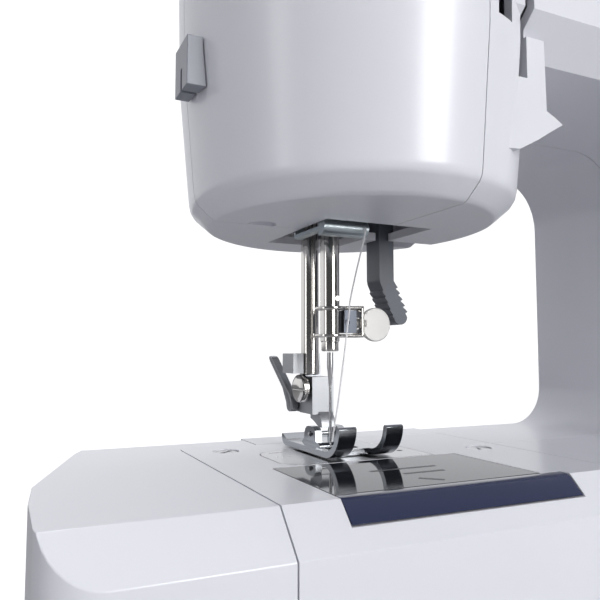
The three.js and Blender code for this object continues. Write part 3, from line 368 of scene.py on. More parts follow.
shell_cuts = [
    block(*handle_pocket),
    block(-12.9, 12.5, -23, 19.5, HEAD_BOTTOM - 1, HEAD_BOTTOM + 9),
    block(17.5, 56, 0.5, 10, HEAD_BOTTOM - 1, 88),
    block(4.8, 21.9, -23, 1.2, HEAD_BOTTOM - 1, HEAD_BOTTOM + 9),
    block(12.4, 18.6, -FAR, -24, 112, FAR),
    block(24, 27, -FAR, -24, 101, FAR),
    block(32.2, 41.8, -49.6, -18.4, 160, FAR),
    rod("x", (0, 145), 8, THROAT + 40, FAR),
    block(FREE_ARM_RIGHT + WALL, BODY_RIGHT - WALL, BODY_FRONT + 5, BODY_BACK - 4, -FAR, BASE_BOTTOM + 6),
    block(FREE_ARM_RIGHT - 1, FREE_ARM_RIGHT + WALL + 1, BODY_FRONT + 12, FREE_ARM_BACK - 6, -FAR,
          BASE_BOTTOM + 4.3),
    block(FREE_ARM_RIGHT - 1, FREE_ARM_RIGHT + 9, BODY_FRONT + 12, FREE_ARM_BACK - 6, -53, -5),
    rod("y", (170, 128), 3.4, -FAR, -20),
    rod("y", (170, 80), 3.4, -FAR, -20),
    block(165, 175, -FAR, -20, 29, 39),
    block(163.5, 176.5, -29.5, -20.5, 150, FAR),
    rod("z", (72, -32), 3, 150, FAR),
    rod("z", (108, -32), 3, 150, FAR),
    rod("x", (33, 176.6), 1.9, 50, 160),
    block(BODY_RIGHT - 20, FAR, -22, -6, -52.5, -27.5),
    block(BODY_RIGHT - 20, FAR, 9, 31, -52, -36),
]
for cutter in shell_cuts:
    shell = carve(shell, cutter)


# The face cover wraps the head's front left, and the other covers part along the middle.
def finish_mesh(name, bm, material, body, stands_for, smooth=35):
    """Makes the object, marks its sharp edges, gives it its material and its body, if it rides one."""
    bmesh.ops.remove_doubles(bm, verts=bm.verts, dist=0.0005)
    bmesh.ops.recalc_face_normals(bm, faces=bm.faces)
    mesh = bpy.data.meshes.new(name)
    bm.to_mesh(mesh)
    bm.free()
    mesh.transform(TO_FRAME)
    mesh.materials.append(material)
    mesh.shade_smooth()
    mesh.set_sharp_from_angle(angle=math.radians(smooth))
    piece = bpy.data.objects.new(name, mesh)
    bpy.context.scene.collection.objects.link(piece)
    even = piece.modifiers.new("even_shading", "WEIGHTED_NORMAL")
    even.keep_sharp = True
    if body:
        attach(piece, body)
    if stands_for:
        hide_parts(*stands_for)
    return piece


def rounded(u0, u1, v0, v1, radius, steps=5):
    """A rectangle outline with round corners."""
    return (arc((u1 - radius, v0 + radius), radius, -90, 0, steps)
            + arc((u1 - radius, v1 - radius), radius, 0, 90, steps)
            + arc((u0 + radius, v1 - radius), radius, 90, 180, steps)
            + arc((u0 + radius, v0 + radius), radius, 180, 270, steps))


def finish(name, color, roughness, metallic=0.0, grain=0.0, grain_scale=900.0, mottle=0.04, coat=0.0,
           stretch=(1, 1, 1), specular=0.5):
    """A principled finish whose roughness and color drift a little and whose surface has a fine grain."""
    material = bpy.data.materials.new(name)
    material.use_nodes = True
    nodes = material.node_tree.nodes
    links = material.node_tree.links
    shader = nodes["Principled BSDF"]
    shader.inputs["Metallic"].default_value = metallic
    shader.inputs["Coat Weight"].default_value = coat
    shader.inputs["Coat Roughness"].default_value = 0.14
    shader.inputs["Specular IOR Level"].default_value = specular
    place = nodes.new("ShaderNodeTexCoord")
    mapping = nodes.new("ShaderNodeMapping")
    mapping.inputs["Scale"].default_value = stretch
    links.new(place.outputs["Object"], mapping.inputs["Vector"])
    broad = nodes.new("ShaderNodeTexNoise")
    broad.inputs["Scale"].default_value = 38
    broad.inputs["Detail"].default_value = 3
    links.new(mapping.outputs["Vector"], broad.inputs["Vector"])
    spread = nodes.new("ShaderNodeMapRange")
    spread.inputs["To Min"].default_value = roughness - mottle
    spread.inputs["To Max"].default_value = roughness + mottle
    links.new(broad.outputs["Fac"], spread.inputs["Value"])
    links.new(spread.outputs["Result"], shader.inputs["Roughness"])
    tint = nodes.new("ShaderNodeMix")
    tint.data_type = "RGBA"
    tint.inputs["A"].default_value = (*[c * 0.985 for c in color], 1)
    tint.inputs["B"].default_value = (*[min(c * 1.015, 1) for c in color], 1)
    links.new(broad.outputs["Fac"], tint.inputs["Factor"])
    links.new(tint.outputs["Result"], shader.inputs["Base Color"])
    if grain:
        fine = nodes.new("ShaderNodeTexNoise")
        fine.inputs["Scale"].default_value = grain_scale
        fine.inputs["Detail"].default_value = 4
        links.new(mapping.outputs["Vector"], fine.inputs["Vector"])
        bump = nodes.new("ShaderNodeBump")
        bump.inputs["Strength"].default_value = grain
        bump.inputs["Distance"].default_value = 0.0001
        links.new(fine.outputs["Fac"], bump.inputs["Height"])
        links.new(bump.outputs["Normal"], shader.inputs["Normal"])
    return material


shell_white = finish("shell_white", (0.77, 0.775, 0.82), 0.3, grain=0.05, grain_scale=2600, coat=0.2)

FACE_RIGHT = 8.8
FACE_BACK_RIGHT = -23.0
FACE_STEP = -13.0
FACE_BACK_LEFT = -7.0
lowest = HEAD_BOTTOM - 5


def face_region(grow):
    """Plan of the face cover: a wide front part and a narrower left part."""
    corners = [(-FAR, -FAR), (FACE_RIGHT + grow, -FAR), (FACE_RIGHT + grow, FACE_BACK_RIGHT + grow),
               (FACE_STEP + grow, FACE_BACK_RIGHT + grow), (FACE_STEP + grow, FACE_BACK_LEFT + grow),
               (-FAR, FACE_BACK_LEFT + grow)]
    return prism(corners, "z", lowest, FAR)


face = carve(shell.copy(), face_region(0), "INTERSECT")
screw_recess = prism(rounded(-30, -22, -12.4, -3, 3.9), "z", HEAD_BOTTOM - 1, HEAD_BOTTOM + 1.8)
face = carve(face, screw_recess)
covers = carve(shell, face_region(SEAM))
rear_side = prism([(-FAR, SEAM / 2), (-FAR, FACE_BACK_RIGHT), (FACE_RIGHT, FACE_BACK_RIGHT),
                   (FACE_RIGHT, SEAM / 2), (FAR, SEAM / 2), (FAR, FAR), (-FAR, FAR)], "z", -FAR, FAR)
front_side = prism([(-FAR, -FAR), (FAR, -FAR), (FAR, -SEAM / 2), (FACE_RIGHT + SEAM, -SEAM / 2),
                    (FACE_RIGHT + SEAM, FACE_BACK_RIGHT - SEAM), (-FAR, FACE_BACK_RIGHT - SEAM)],
                   "z", -FAR, FAR)
rear = carve(covers.copy(), rear_side, "INTERSECT")
front = carve(covers, front_side, "INTERSECT")
for cover_name, cover_bm in (("face_cover", face), ("front_cover", front), ("rear_cover", rear)):
    finish_mesh(cover_name + "_shell", cover_bm, shell_white, "root", [cover_name], 32)


# Free arm: a hollow white moulding whose top is the bed. Round recesses hold its two screws, and its
# top opens for the needle plate and the bobbin cover.
def soften(bm, width, segments=2, angle=30):
    """Rounds every edge sharper than an angle."""
    bmesh.ops.recalc_face_normals(bm, faces=bm.faces)
    edges = [e for e in bm.edges if e.is_manifold and e.calc_face_angle(0) > math.radians(angle)]
    bmesh.ops.bevel(bm, geom=edges, offset=width, segments=segments, profile=0.5,
                    affect="EDGES", clamp_overlap=True, material=-1)


def sculpt(name, bodies, cutters, material, body, stands_for, bevel=0.3, segments=2, smooth=35):
    """Joins closed bodies, cuts others out of them, rounds the sharp edges and makes the piece."""
    whole = bodies[0]
    for extra in bodies[1:]:
        whole = carve(whole, extra, "UNION")
    for cutter_bm in cutters:
        whole = carve(whole, cutter_bm)
    if bevel:
        bmesh.ops.remove_doubles(whole, verts=whole.verts, dist=0.002)
        soften(whole, bevel, segments)
    return finish_mesh(name, whole, material, body, stands_for, smooth)


PLATE_LEFT = -19.0
PLATE_RIGHT = 30.0
PLATE_FRONT = -11.0
PLATE_BACK = 17.0
COVER_LEFT = -24.0
COVER_RIGHT = 37.0
COVER_BACK = -11.4
COVER_FRONT = -47.5
FLAP_RIGHT = 43.5
FLAP_DROP = 4.7
BED_SCREWS = ((-26, 22), (52, -6))


def arm_section(inset):
    """The free arm seen from the side, its top front edge cut at 45 degrees."""
    front_y = BODY_FRONT + inset
    back_y = FREE_ARM_BACK - inset
    bottom = -56 + inset
    cut_edge = 9 - inset * 0.6
    return [(front_y + 6, bottom), (back_y - 6, bottom), (back_y, bottom + 6), (back_y, -inset),
            (front_y + cut_edge, -inset), (front_y, -inset - cut_edge), (front_y, bottom + 6)]


def plate_outline(grow):
    """The needle plate's plan: its rear left corner is round and its front left one is cut."""
    return ([(PLATE_LEFT - grow, PLATE_FRONT + 5), (PLATE_LEFT + 5, PLATE_FRONT - grow),
             (PLATE_RIGHT + grow, PLATE_FRONT - grow), (PLATE_RIGHT + grow, PLATE_BACK + grow)]
            + arc((PLATE_LEFT + 9, PLATE_BACK - 9), 9 + grow, 90, 180, 8))


arm_cuts = [
    prism(arm_section(WALL), "x", FREE_ARM_LEFT + WALL, FREE_ARM_RIGHT + 5),
    prism(plate_outline(SEAM), "z", -WALL - 1, 5),
    block(COVER_LEFT - SEAM, COVER_RIGHT + SEAM, COVER_FRONT - 2, COVER_BACK, -2.7, 5),
    block(COVER_LEFT - SEAM, FLAP_RIGHT + SEAM, BODY_FRONT - 5, COVER_FRONT, -FLAP_DROP - SEAM, 5),
]
arm_cuts += [rod("z", spot, 4.2, -1.6, 5) for spot in BED_SCREWS]
sculpt("free_arm_shell", [prism(arm_section(0), "x", FREE_ARM_LEFT, FREE_ARM_RIGHT - SEAM)], arm_cuts,
       shell_white, "root", ["free_arm_cover"], 0.25, 2, 32)

# Bed screws: steel cheese heads in the bed's round recesses, which hold the free arm cover down. Each has
# one slot, and the two slots are turned to different angles.
steel = finish("steel", (0.56, 0.56, 0.57), 0.27, 1.0, grain=0.08, grain_scale=1200, stretch=(1, 1, 0.15))

for side, (x, y), turned_by in (("left", BED_SCREWS[0], 35), ("right", BED_SCREWS[1], 62)):
    head = rod("z", (x, y), 3.6, -1.3, -0.3, 40)
    slot_bm = block(-4, 4, -0.5, 0.5, -0.9, 1)
    bmesh.ops.rotate(slot_bm, cent=(0, 0, 0), matrix=Matrix.Rotation(math.radians(turned_by), 3, "Z"),
                     verts=slot_bm.verts)
    bmesh.ops.translate(slot_bm, vec=(x, y, 0), verts=slot_bm.verts)
    sculpt("bed_screw_head_" + side, [head], [slot_bm], steel, "root", ["bed_screw_" + side], 0.22, 2, 40)

# Extension table: the removable left end of the bed and its strip behind the free arm. It is one white
# moulded box that slides off to the left, with a lid that closes its accessory space.
TABLE_LEFT = -86.0


def table_outline(inset):
    """The table's plan: a round front left corner and a slanted rear left one."""
    left = TABLE_LEFT + inset
    right = FREE_ARM_LEFT - SEAM - inset
    front_y = BODY_FRONT + inset
    back_y = BODY_BACK - inset
    points = [(right, front_y), (right, FREE_ARM_BACK + SEAM - inset)]
    if inset == 0:
        points += [(REAR_STRIP_LEFT - SEAM, FREE_ARM_BACK + SEAM), (REAR_STRIP_LEFT - SEAM, back_y)]
    else:
        points += [(right, back_y)]
    points += [(left + 26, back_y), (left + 21.5, back_y - 0.9), (left + 18.4, back_y - 3.6),
               (left + 16, back_y - 9), (left + 1.5, -10), (left, -28)]
    return points + arc((left + 12, front_y + 12), 12, 180, 270, 10)


table_side = [(BODY_FRONT, BASE_BOTTOM), (BODY_BACK, BASE_BOTTOM), (BODY_BACK, -4), (BODY_BACK - 4, 0),
              (BODY_FRONT + 9, 0), (BODY_FRONT, -9)]
table_bm = carve(prism(table_outline(0), "z", BASE_BOTTOM, 0),
                 prism(table_side, "x", TABLE_LEFT - 1, FREE_ARM_RIGHT), "INTERSECT")
sculpt("table_shell", [table_bm], [
    prism(table_outline(WALL), "z", BASE_BOTTOM + WALL, -8.5),
    block(-72.3, -42.7, BODY_FRONT - 1, BODY_FRONT + 4.5, -72.3, -15.7),
], shell_white, "extension_table", ["extension_table"], 0.3, 2, 32)
sculpt("lid_panel", [block(-72, -43, BODY_FRONT, BODY_FRONT + 2, -71.7, -16)], [
    prism(rounded(-64, -51, -22, -18.5, 1.6), "y", BODY_FRONT - 1, BODY_FRONT + 0.8),
], shell_white, "accessory_lid", ["accessory_lid"], 0.35, 2, 32)

# Needle plate: satin steel sunk flush in the bed, with slots for three rows of feed teeth and for the
# needle, one small round hole and stamped seam marks.
FEED_ROWS = ((-5, -2.6, -6), (2.4, 4.6, 3.5), (9.4, 11.8, -6))
plate_cuts = [block(left - 0.6, right + 0.6, front_y - 2.4, 14.4, -9, 5) for left, right,
              front_y in FEED_ROWS]
plate_cuts += [prism(rounded(-1.4, 8.4, -1.3, 1.3, 1.2, 6), "z", -9, 5), rod("z", (25, 0), 1, -5, 5, 20)]
plate_marks = [(-15.6, 4.7), (-14, 3.8), (-12.2, 3.8)]
plate_cuts += [rod("z", spot, 0.55, -0.35, 5, 16) for spot in plate_marks]
plate_cuts += [block(-15.2, -10.8, 11.8, 12.4, -0.3, 5)]
plate_cuts += [block(18 + k * 3, 18.4 + k * 3, 4, 12 - (k % 2) * 3, -0.25, 5) for k in range(4)]
sculpt("needle_plate_steel", [prism(plate_outline(0), "z", -2, 0)], plate_cuts,
       steel, "root", ["needle_plate"], 0.15, 2, 35)

# Bobbin cover: a smoked clear window with printed threading marks, and the navy flap that folds over
# the front edge of the bed.
dark_plastic = finish("dark_plastic", (0.035, 0.037, 0.045), 0.42, grain=0.2, grain_scale=1600)
smoked_plastic = finish("smoked_plastic", (0.022, 0.024, 0.03), 0.05, mottle=0.01, specular=0.42)
navy_plastic = finish("navy_plastic", (0.03, 0.037, 0.085), 0.16, coat=0.4, mottle=0.02)

sculpt("cover_window", [block(COVER_LEFT, COVER_RIGHT, COVER_FRONT, COVER_BACK - SEAM, -2.4, 0)], [],
       smoked_plastic, "bobbin_cover", ["bobbin_cover_window"], 0.2, 2, 35)
marks_bm = bmesh.new()
slab(marks_bm, (-2.3, -27.7, -0.05), (18.7, -26.3, 0.03))
slab(marks_bm, (4.1, -34, -0.05), (17, -32.6, 0.03))
slant = slab(marks_bm, (-3.2, -0.7, -0.05), (3.2, 0.7, 0.03))
bmesh.ops.rotate(marks_bm, cent=(0, 0, 0), matrix=Matrix.Rotation(math.radians(-43), 3, "Z"), verts=slant)
bmesh.ops.translate(marks_bm, vec=(6.6, -41.8, 0), verts=slant)
finish_mesh("cover_marks", marks_bm, dark_plastic, "bobbin_cover", [])
flap_section = [(COVER_FRONT - SEAM, 0), (COVER_FRONT - SEAM, -2.2), (-51.8, -2.2), (-54.3, -FLAP_DROP),
                (-55.6, -FLAP_DROP), (-51.6, -0.7), (-50.6, -0.15), (-49.6, 0)]
sculpt("cover_flap", [prism(flap_section, "x", COVER_LEFT, FLAP_RIGHT)], [], navy_plastic, "bobbin_cover",
       ["bobbin_cover_flap"], 0.25, 2, 35)

# Thread guide bracket: zinc-plated sheet with a rolled front lip, on a sheet arm that runs back into
# the head.
zinc_plate = finish("zinc_plate", (0.5, 0.56, 0.58), 0.3, 1.0, grain=0.1, grain_scale=900)

lip = prism(arc((-18.2, 66.6), 2.4, -90, -225, 20) + [(-19, 69.6), (-18.4, 74), (-16.8, 74), (-16.8, 64.2)],
            "x", -12.4, 1.9)
sculpt("guide_lip",
       [lip, block(-12.4, 1.9, -18.6, -16, 65.6, 66.8), block(-12.4, -10.2, -18.6, -0.5, 65.6, 66.8),
                     block(-12.4, -9.6, -1.6, -0.5, 65.6, 84)], [],
       zinc_plate, "root", ["thread_guide_bracket"], 0.2, 2, 35)

# Needle bar: a ground and polished steel rod that slides in its frame inside the head. A bright set
# screw near its lower end holds the needle.
chrome = finish("chrome", (0.72, 0.7, 0.67), 0.13, 1.0, mottle=0.03)


def turned_piece(name, profiles, material, body, stands_for, steps=64, smooth=30):
    """A piece made of several spun profiles, each an axis, a centre and its points."""
    bm = bmesh.new()
    for axis, centre, points in profiles:
        turned(bm, points, axis, centre, steps)
    return finish_mesh(name, bm, material, body, stands_for, smooth)


turned_piece("needle_rod", [
    ("z", (0, 0), [(0, 31.7), (2.3, 31.7), (2.62, 31.95), (2.7, 32.3), (2.7, 34.6), (3, 34.9), (3, 149.4),
                   (2.5, 150), (0, 150)]),
], chrome, "needle_bar", ["needle_bar"])
turned_piece("needle_rod_screw", [
    ("y", (0.9, 47.9), [(0, -3.5), (0.75, -3.5), (0.95, -3.2), (0.95, -2), (0, -2)]),
], chrome, "needle_bar", [], 24)

# Needle: plated steel, drawn and ground from one wire. It has a round shank, a cone, and a thin blade
# with an eye above its point.
needle_bm = bmesh.new()
turned(needle_bm,
       [(0, 2), (0.12, 2.15), (0.28, 4.2), (0.42, 8), (0.42, 21), (0.55, 22.5), (0.93, 26.6), (0.98, 27.5),
                   (0.98, 31.4), (0, 31.4)], "z", (0, 0), 24)
needle_bm = carve(needle_bm, rod("y", (0, 4.4), 0.17, -1, 1, 12))
needle_bm = carve(needle_bm, block(-0.08, 0.08, -1, -0.33, 4.4, 20))
finish_mesh("needle_blade", needle_bm, steel, "needle_bar", ["needle"], 30)


# Needle clamp: two steel loops bent from one strip, closed round the bar and joined by an upright wall
# at the right, which the paddle screw passes through.
def merge_into(bm, other):
    """Adds another bmesh's faces to the first and frees it."""
    mesh = bpy.data.meshes.new("merging")
    other.to_mesh(mesh)
    other.free()
    bm.from_mesh(mesh)
    bpy.data.meshes.remove(mesh)


CLAMP_RIGHT = 10.6


def clamp_loop(low, lean):
    """One loop seen from above: an open ring round the bar with two arms to the wall."""
    outside_line = [(CLAMP_RIGHT, -3), (CLAMP_RIGHT, 3)] + arc((0, 0), 4.7, 40, 320, 28)
    inside_line = [(9.4, -2), (9.4, 2)] + arc((0, 0), 3.35, 37, 323, 28)
    loop = carve(prism(outside_line, "z", low, low + 1), prism(inside_line, "z", low - 1, low + 2))
    turn = Matrix.Rotation(math.radians(lean), 3, "Y")
    bmesh.ops.rotate(loop, cent=(CLAMP_RIGHT, 0, low + 0.5), matrix=turn, verts=loop.verts)
    return loop


clamp_wall = block(CLAMP_RIGHT - 1, CLAMP_RIGHT, -3, 3, 36.4, 45.2)
clamp_wall = carve(clamp_wall, rod("x", (0, 40.5), 1.8, 8, 12, 24))
wall_bm = bmesh.new()
for part_bm in (clamp_loop(36, 0), clamp_loop(44.9, -2.2), clamp_wall):
    soften(part_bm, 0.3, 3)
    merge_into(wall_bm, part_bm)
finish_mesh("clamp_loops", wall_bm, chrome, "needle_bar", ["needle_clamp"], 40)

# Clamp block: a blued steel nut between the two loops, rounded where it meets the bar. The clamp
# screw's thread runs into it.
blued_steel = finish("blued_steel", (0.1, 0.11, 0.13), 0.3, 1.0, mottle=0.04)

sculpt("clamp_nut", [block(3.5, 8, -2.6, 2.6, 37.4, 44.4)], [
    rod("x", (0, 40.5), 1.8, 5.5, 9, 24), rod("z", (0, 0), 3.4, 30, 50, 40),
    rod("y", (4.6, 40.6), 0.9, -3, -2.2, 24), ], blued_steel, "needle_bar", ["clamp_block"], 0.35, 3, 35)

# Clamp screw: a threaded shank with a flat round paddle for two fingers. It is turned steel, and its
# cream white colour is painted reflection: a pale, mostly non-metal finish in place of its shine.
# Pale, mostly non-metal finish: painted reflection of the white surround on the polished steel disc.
painted_reflection_disc = finish("painted_reflection_disc", (0.66, 0.65, 0.63), 0.3, 0.25, grain=0.04)

screw_bm = bmesh.new()
ridges = [(0, 6.0)]
for k in range(13):
    ridges += [(1.28, 6.05 + k * 0.5), (1.5, 6.3 + k * 0.5)]
ridges += [(1.28, 12.5), (0, 12.5)]
turned(screw_bm, ridges, "x", (0, 40.5), 24)
turned(screw_bm, [(0, -0.8), (5.1, -0.8), (5.4, -0.5), (5.4, 0.5), (5.1, 0.8), (0, 0.8)],
       "y", (16.2, 40.2), 72)
finish_mesh("paddle_screw", screw_bm, painted_reflection_disc, "clamp_screw", ["clamp_screw"], 35)


# Sewing thread: white cotton that leaves the guide's lip, passes the clamp and goes to the needle's eye.
# It rides on no moving part, so that its top stays near the lip.
def tube(bm, route, radius, sides=10):
    """A round rod swept along a list of points."""
    points = [Vector(p) for p in route]
    rings = []
    across = Vector((1, 0, 0))
    for k, point in enumerate(points):
        along = (points[min(k + 1, len(points) - 1)] - points[max(k - 1, 0)]).normalized()
        across = (across - along * across.dot(along)).normalized()
        up = along.cross(across)
        rings.append([bm.verts.new(point + radius * (
            across * math.cos(2 * math.pi * s / sides) + up * math.sin(2 * math.pi * s / sides)))
            for s in range(sides)])
    for lower, upper in zip(rings, rings[1:]):
        for s in range(sides):
            bm.faces.new((lower[s], lower[(s + 1) % sides], upper[(s + 1) % sides], upper[s]))
    bm.faces.new(rings[0][::-1])
    bm.faces.new(rings[-1])


thread_white = finish("thread_white", (0.85, 0.85, 0.86), 0.75, grain=0.5, grain_scale=4000)

THREAD_ROUTE = [(0.4, -21.2, 66.5), (-0.1, -21.2, 63.6), (2.3, -12.6, 55.5), (4.6, -4.6, 47.2),
                (4.4, -4.4, 44), (3.4, -4.2, 36), (2.6, -3.9, 29), (1.2, -2.8, 16), (0.45, -1.8, 9),
                (0.1, -0.95, 4.4)]


def through_points(points, steps=5):
    """A smooth curve through every given point."""
    known = [Vector(p) for p in points]
    smooth_line = []
    for k in range(len(known) - 1):
        before = known[max(k - 1, 0)]
        after = known[min(k + 2, len(known) - 1)]
        a, b = known[k], known[k + 1]
        for s in range(steps):
            t = s / steps
            smooth_line.append(0.5 * (2 * a + (b - before) * t + (2 * before - 5 * a + 4 * b - after) * t * t
                                      + (3 * a - before - 3 * b + after) * t ** 3))
    return smooth_line + [known[-1]]


thread_bm = bmesh.new()
tube(thread_bm, through_points(THREAD_ROUTE), 0.26, 8)
cotton_thread = finish_mesh("cotton_thread", thread_bm, thread_white, None, ["sewing_thread"], 60)
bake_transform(cotton_thread)

# Presser bar: a polished steel rod behind the needle bar that carries the ankle at its foot. Its clamp
# collar sits inside the head, where the lifter raises it.
turned_piece("presser_rod", [
    ("z", (0, 14.2), [(0, 24.1), (2.6, 24.1), (3, 24.5), (3, 149.5), (2.6, 150), (0, 150)]),
], chrome, "presser_bar", ["presser_bar"])
sculpt("presser_collar", [block(-5.5, 5.5, 10, 18.7, 94, 102)], [], steel, "presser_bar", [], 0.5, 2, 35)

# Ankle: a satin plated casting. A plate runs up behind the bar, a flat block faces the front, and a
# curved claw sweeps down to the foot's pin.
satin_steel = finish("satin_steel", (0.42, 0.43, 0.45), 0.42, 1.0, grain=0.1, grain_scale=1400)

claw = [(11, 12.2), (17, 12.2), (17, 9.8), (14, 8.8), (12.2, 7.9), (10.2, 7.4), (8.6, 7.4), (8.7, 8.6),
        (9.4, 10.3)]
sculpt("ankle_casting", [
    block(-0.7, 5.5, 17.6, 20.6, 12, 31),
    block(-7, 0, 17.6, 20.6, 24.6, 31),
    block(-7, -3.4, 12, 20.6, 24.6, 31),
    block(-0.7, 7, 11, 20.6, 11.4, 23.4),
    prism(claw, "x", 1.5, 6.5),
    block(0, 3, 18, 26, 11.4, 16),
], [rod("x", (15.5, 19.6), 1.9, -8, 4, 24), rod("x", (24, 13.6), 1.3, -1, 2.5, 20)],
       satin_steel, "presser_bar", ["foot_ankle"], 0.35, 3, 35)

# Ankle screw: a plated thumb screw that holds the ankle on the presser bar. Its head is grooved round
# the rim, and its crowned face is slotted.
screw_head = bmesh.new()
turned(screw_head,
       [(0, -4.6), (2.6, -4.6), (3.5, -4.35), (4.3, -3.85), (4.5, -3.4), (4.5, -2.75), (4.2, -2.55),
        (4.2, -2.35), (4.45, -2.15), (4.45, -1.7), (3.9, -1.2), (0, -1.2)], "x", (15.5, 19.6), 64)
screw_head = carve(screw_head, block(-5, -4, 15.5 - 5, 15.5 + 5, 19.2, 20))
shank = rod("x", (15.5, 19.6), 1.5, -2, 3.5, 24)
merge_into(screw_head, shank)
finish_mesh("ankle_thumb_screw", screw_head, chrome, "ankle_screw", ["ankle_screw"], 30)

# Foot release lever: pressed steel with a rounded finger tab. It turns on a pin behind the ankle and
# frees the foot's cross pin.
lever_outline = [(22.4, 12.0), (23.2, 11.5), (24.6, 11.35), (25.6, 11.7), (26.3, 12.7), (26.6, 13.8),
                 (26.5, 16.4), (27.2, 19.4), (30.2, 27.4), (30.6, 28.5), (30.4, 29.6), (29.5, 30.2),
                 (28.5, 30.1), (27.8, 29.4), (27.2, 27.9), (24.2, 20), (22.9, 17), (22.2, 14.6)]
release_bm = prism(lever_outline, "x", -3.2, -0.4)
soften(release_bm, 0.5, 3)
for v in release_bm.verts:
    v.co.x -= 0.36 * max(v.co.z - 16, 0)
sculpt("release_tab", [release_bm], [], satin_steel, "foot_release", ["foot_release_lever"], 0, 3, 40)
turned_piece("release_pin", [("x", (24, 13.6), [(0, -3.1), (0.9, -3.1), (0.9, 2.1), (0, 2.1)])],
             steel, "foot_release", [], 24)

# Presser foot: one zinc casting, polished and plated. Two toes curl up in front, a raised saddle with two
# ears holds the cross pin, and a long slot lets the needle swing.
# The foot's plating is given a darker colour than the chrome elsewhere: painted shade for the near-black
# faces of its toes.
shaded_foot_chrome = finish("shaded_foot_chrome", (0.4, 0.415, 0.44), 0.16, 1.0, mottle=0.03)

sole_low = arc((-4.6, 9.75), 9.4, -92, -178, 12)
sole_top = arc((-4.4, 9.9), 7.7, -176, -92, 12)
foot_side = ([(24, 0.35)] + sole_low + [(-13.9, 9.6), (-13.5, 10.0), (-12.6, 10.05)] + sole_top
             + [(22, 2.2), (25.8, 4), (26.7, 4), (27, 3.4), (26.4, 1.6), (25.4, 0.75)])
foot_ear = [(7, 1.2)] + [(16, 1.2), (15.6, 5.4), (15, 6.7), (14, 7.5), (12.6, 7.8), (9.6, 7.8), (8.3, 7.3),
                         (7.6, 6.2)]
saddle = [(4.2, 1.2), (17.4, 1.2), (17.2, 2.6), (16.4, 3.2), (5.4, 3.2), (4.4, 2.4)]
sculpt("zigzag_foot", [
    prism(foot_side, "x", -4.5, 17.1),
    prism(foot_ear, "x", -1.4, 0.9),
    prism(foot_ear, "x", 7.1, 9.4),
    prism(saddle, "x", -1.4, 9.4),
], [
    block(1.2, 11.3, -20, -4, -1, 12),
    prism(rounded(-1.6, 9.2, -2, 2, 1.5), "z", -1, 12),
    block(12.5, 20, 15, 30, -1, 12),
    rod("x", (11, 5.4), 0.85, -3, 11, 20),
], shaded_foot_chrome, "presser_foot", ["presser_foot"], 0.32, 3, 35)
turned_piece("foot_cross_pin",
             [("x", (11, 5.4), [(0, -2.2), (0.5, -2.2), (0.6, -2.1), (0.6, 10.1), (0.5, 10.2), (0, 10.2)])],
             steel, "presser_foot", ["foot_pin"], 24)

# Lifter: dark moulded lever that hangs from a pin in the frame, bends to the right and ends in a round
# finger tip with five ribs on each edge.
slate_plastic = finish("slate_plastic", (0.12, 0.13, 0.155), 0.36, grain=0.2, grain_scale=1700)

LIFT_LEFT = 18.9
LIFT_RIGHT = 24.4
lifter_line = arc((21.65, 82), 4.6, 0, 180, 14)
lifter_line += [(LIFT_LEFT, 76), (LIFT_LEFT, 55.2), (LIFT_LEFT + 0.3, 53.8)]
for k in range(5):
    z = 51.6 - k * 2.0
    x = LIFT_LEFT + (54.4 - z) * 0.474
    lifter_line += [(x, z), (x - 0.35, z - 0.5), (x + 0.2, z - 1.2)]
lifter_line += arc((LIFT_LEFT + 8, 43), 2.6, 180, 360, 14)
for k in range(5):
    z = 44.2 + k * 2.0
    x = LIFT_RIGHT + (54 - z) * 0.46
    lifter_line += [(x - 0.1, z), (x + 0.75, z + 0.5), (x + 0.1, z + 1.2)]
lifter_line += [(LIFT_RIGHT, 54.8), (LIFT_RIGHT, 76)]
sculpt("lifter_lever", [prism(lifter_line, "y", 1.2, 9.3)], [rod("y", (21.65, 82), 2.4, 0, 20, 24)],
       slate_plastic, "presser_lifter", ["presser_lifter"], 0.4, 2, 50)

# Inner works: cast frame parts, steel shafts and drive parts, and rubber belts behind the covers. They
# keep the shape of the frame's own meshes and take only a finish here.
belt_rubber = finish("belt_rubber", (0.014, 0.014, 0.015), 0.75, grain=0.3, grain_scale=1500)
casting = finish("casting", (0.36, 0.36, 0.37), 0.55, 0.8, grain=0.5, grain_scale=500)

for names, material in (
    (("machine_frame", "motor_housing", "needle_bar_frame", "needle_bar_crank"), casting),
    (("upper_shaft", "motor_shaft", "lower_shaft", "rotary_hook", "feed_bar", "feed_dog", "take_up_lever"),
     steel),
    (("drive_belt", "timing_belt"), belt_rubber),
    (("base_plate", "bobbin_case", "inlet_socket"), dark_plastic),
    (("bobbin",), smoked_plastic),
):
    for node_name in names:
        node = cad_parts[node_name]
        node.data.materials.clear()
        node.data.materials.append(material)

# Rubber feet: four black moulded cones with a rounded rim, pressed into the base plate. The machine
# stands on them.
foot_rubber = finish("foot_rubber", (0.012, 0.012, 0.013), 0.85, grain=0.3, grain_scale=1200)

for spot, x, y in (("front_left", FREE_ARM_LEFT + 14, BODY_FRONT + 15),
                   ("rear_left", FREE_ARM_LEFT + 14, 17), ("front_right", BODY_RIGHT - 16, BODY_FRONT + 18),
                   ("rear_right", BODY_RIGHT - 16, 29)):
    turned_piece("rubber_pad_" + spot, [
        ("z", (x, y), [(0, -BED_HEIGHT), (5.9, -BED_HEIGHT), (6.5, -81.5), (7.5, BASE_BOTTOM - 0.7),
                       (7.1, BASE_BOTTOM - SEAM), (0, BASE_BOTTOM - SEAM)]),
    ], foot_rubber, "root", ["rubber_foot_" + spot], 40)

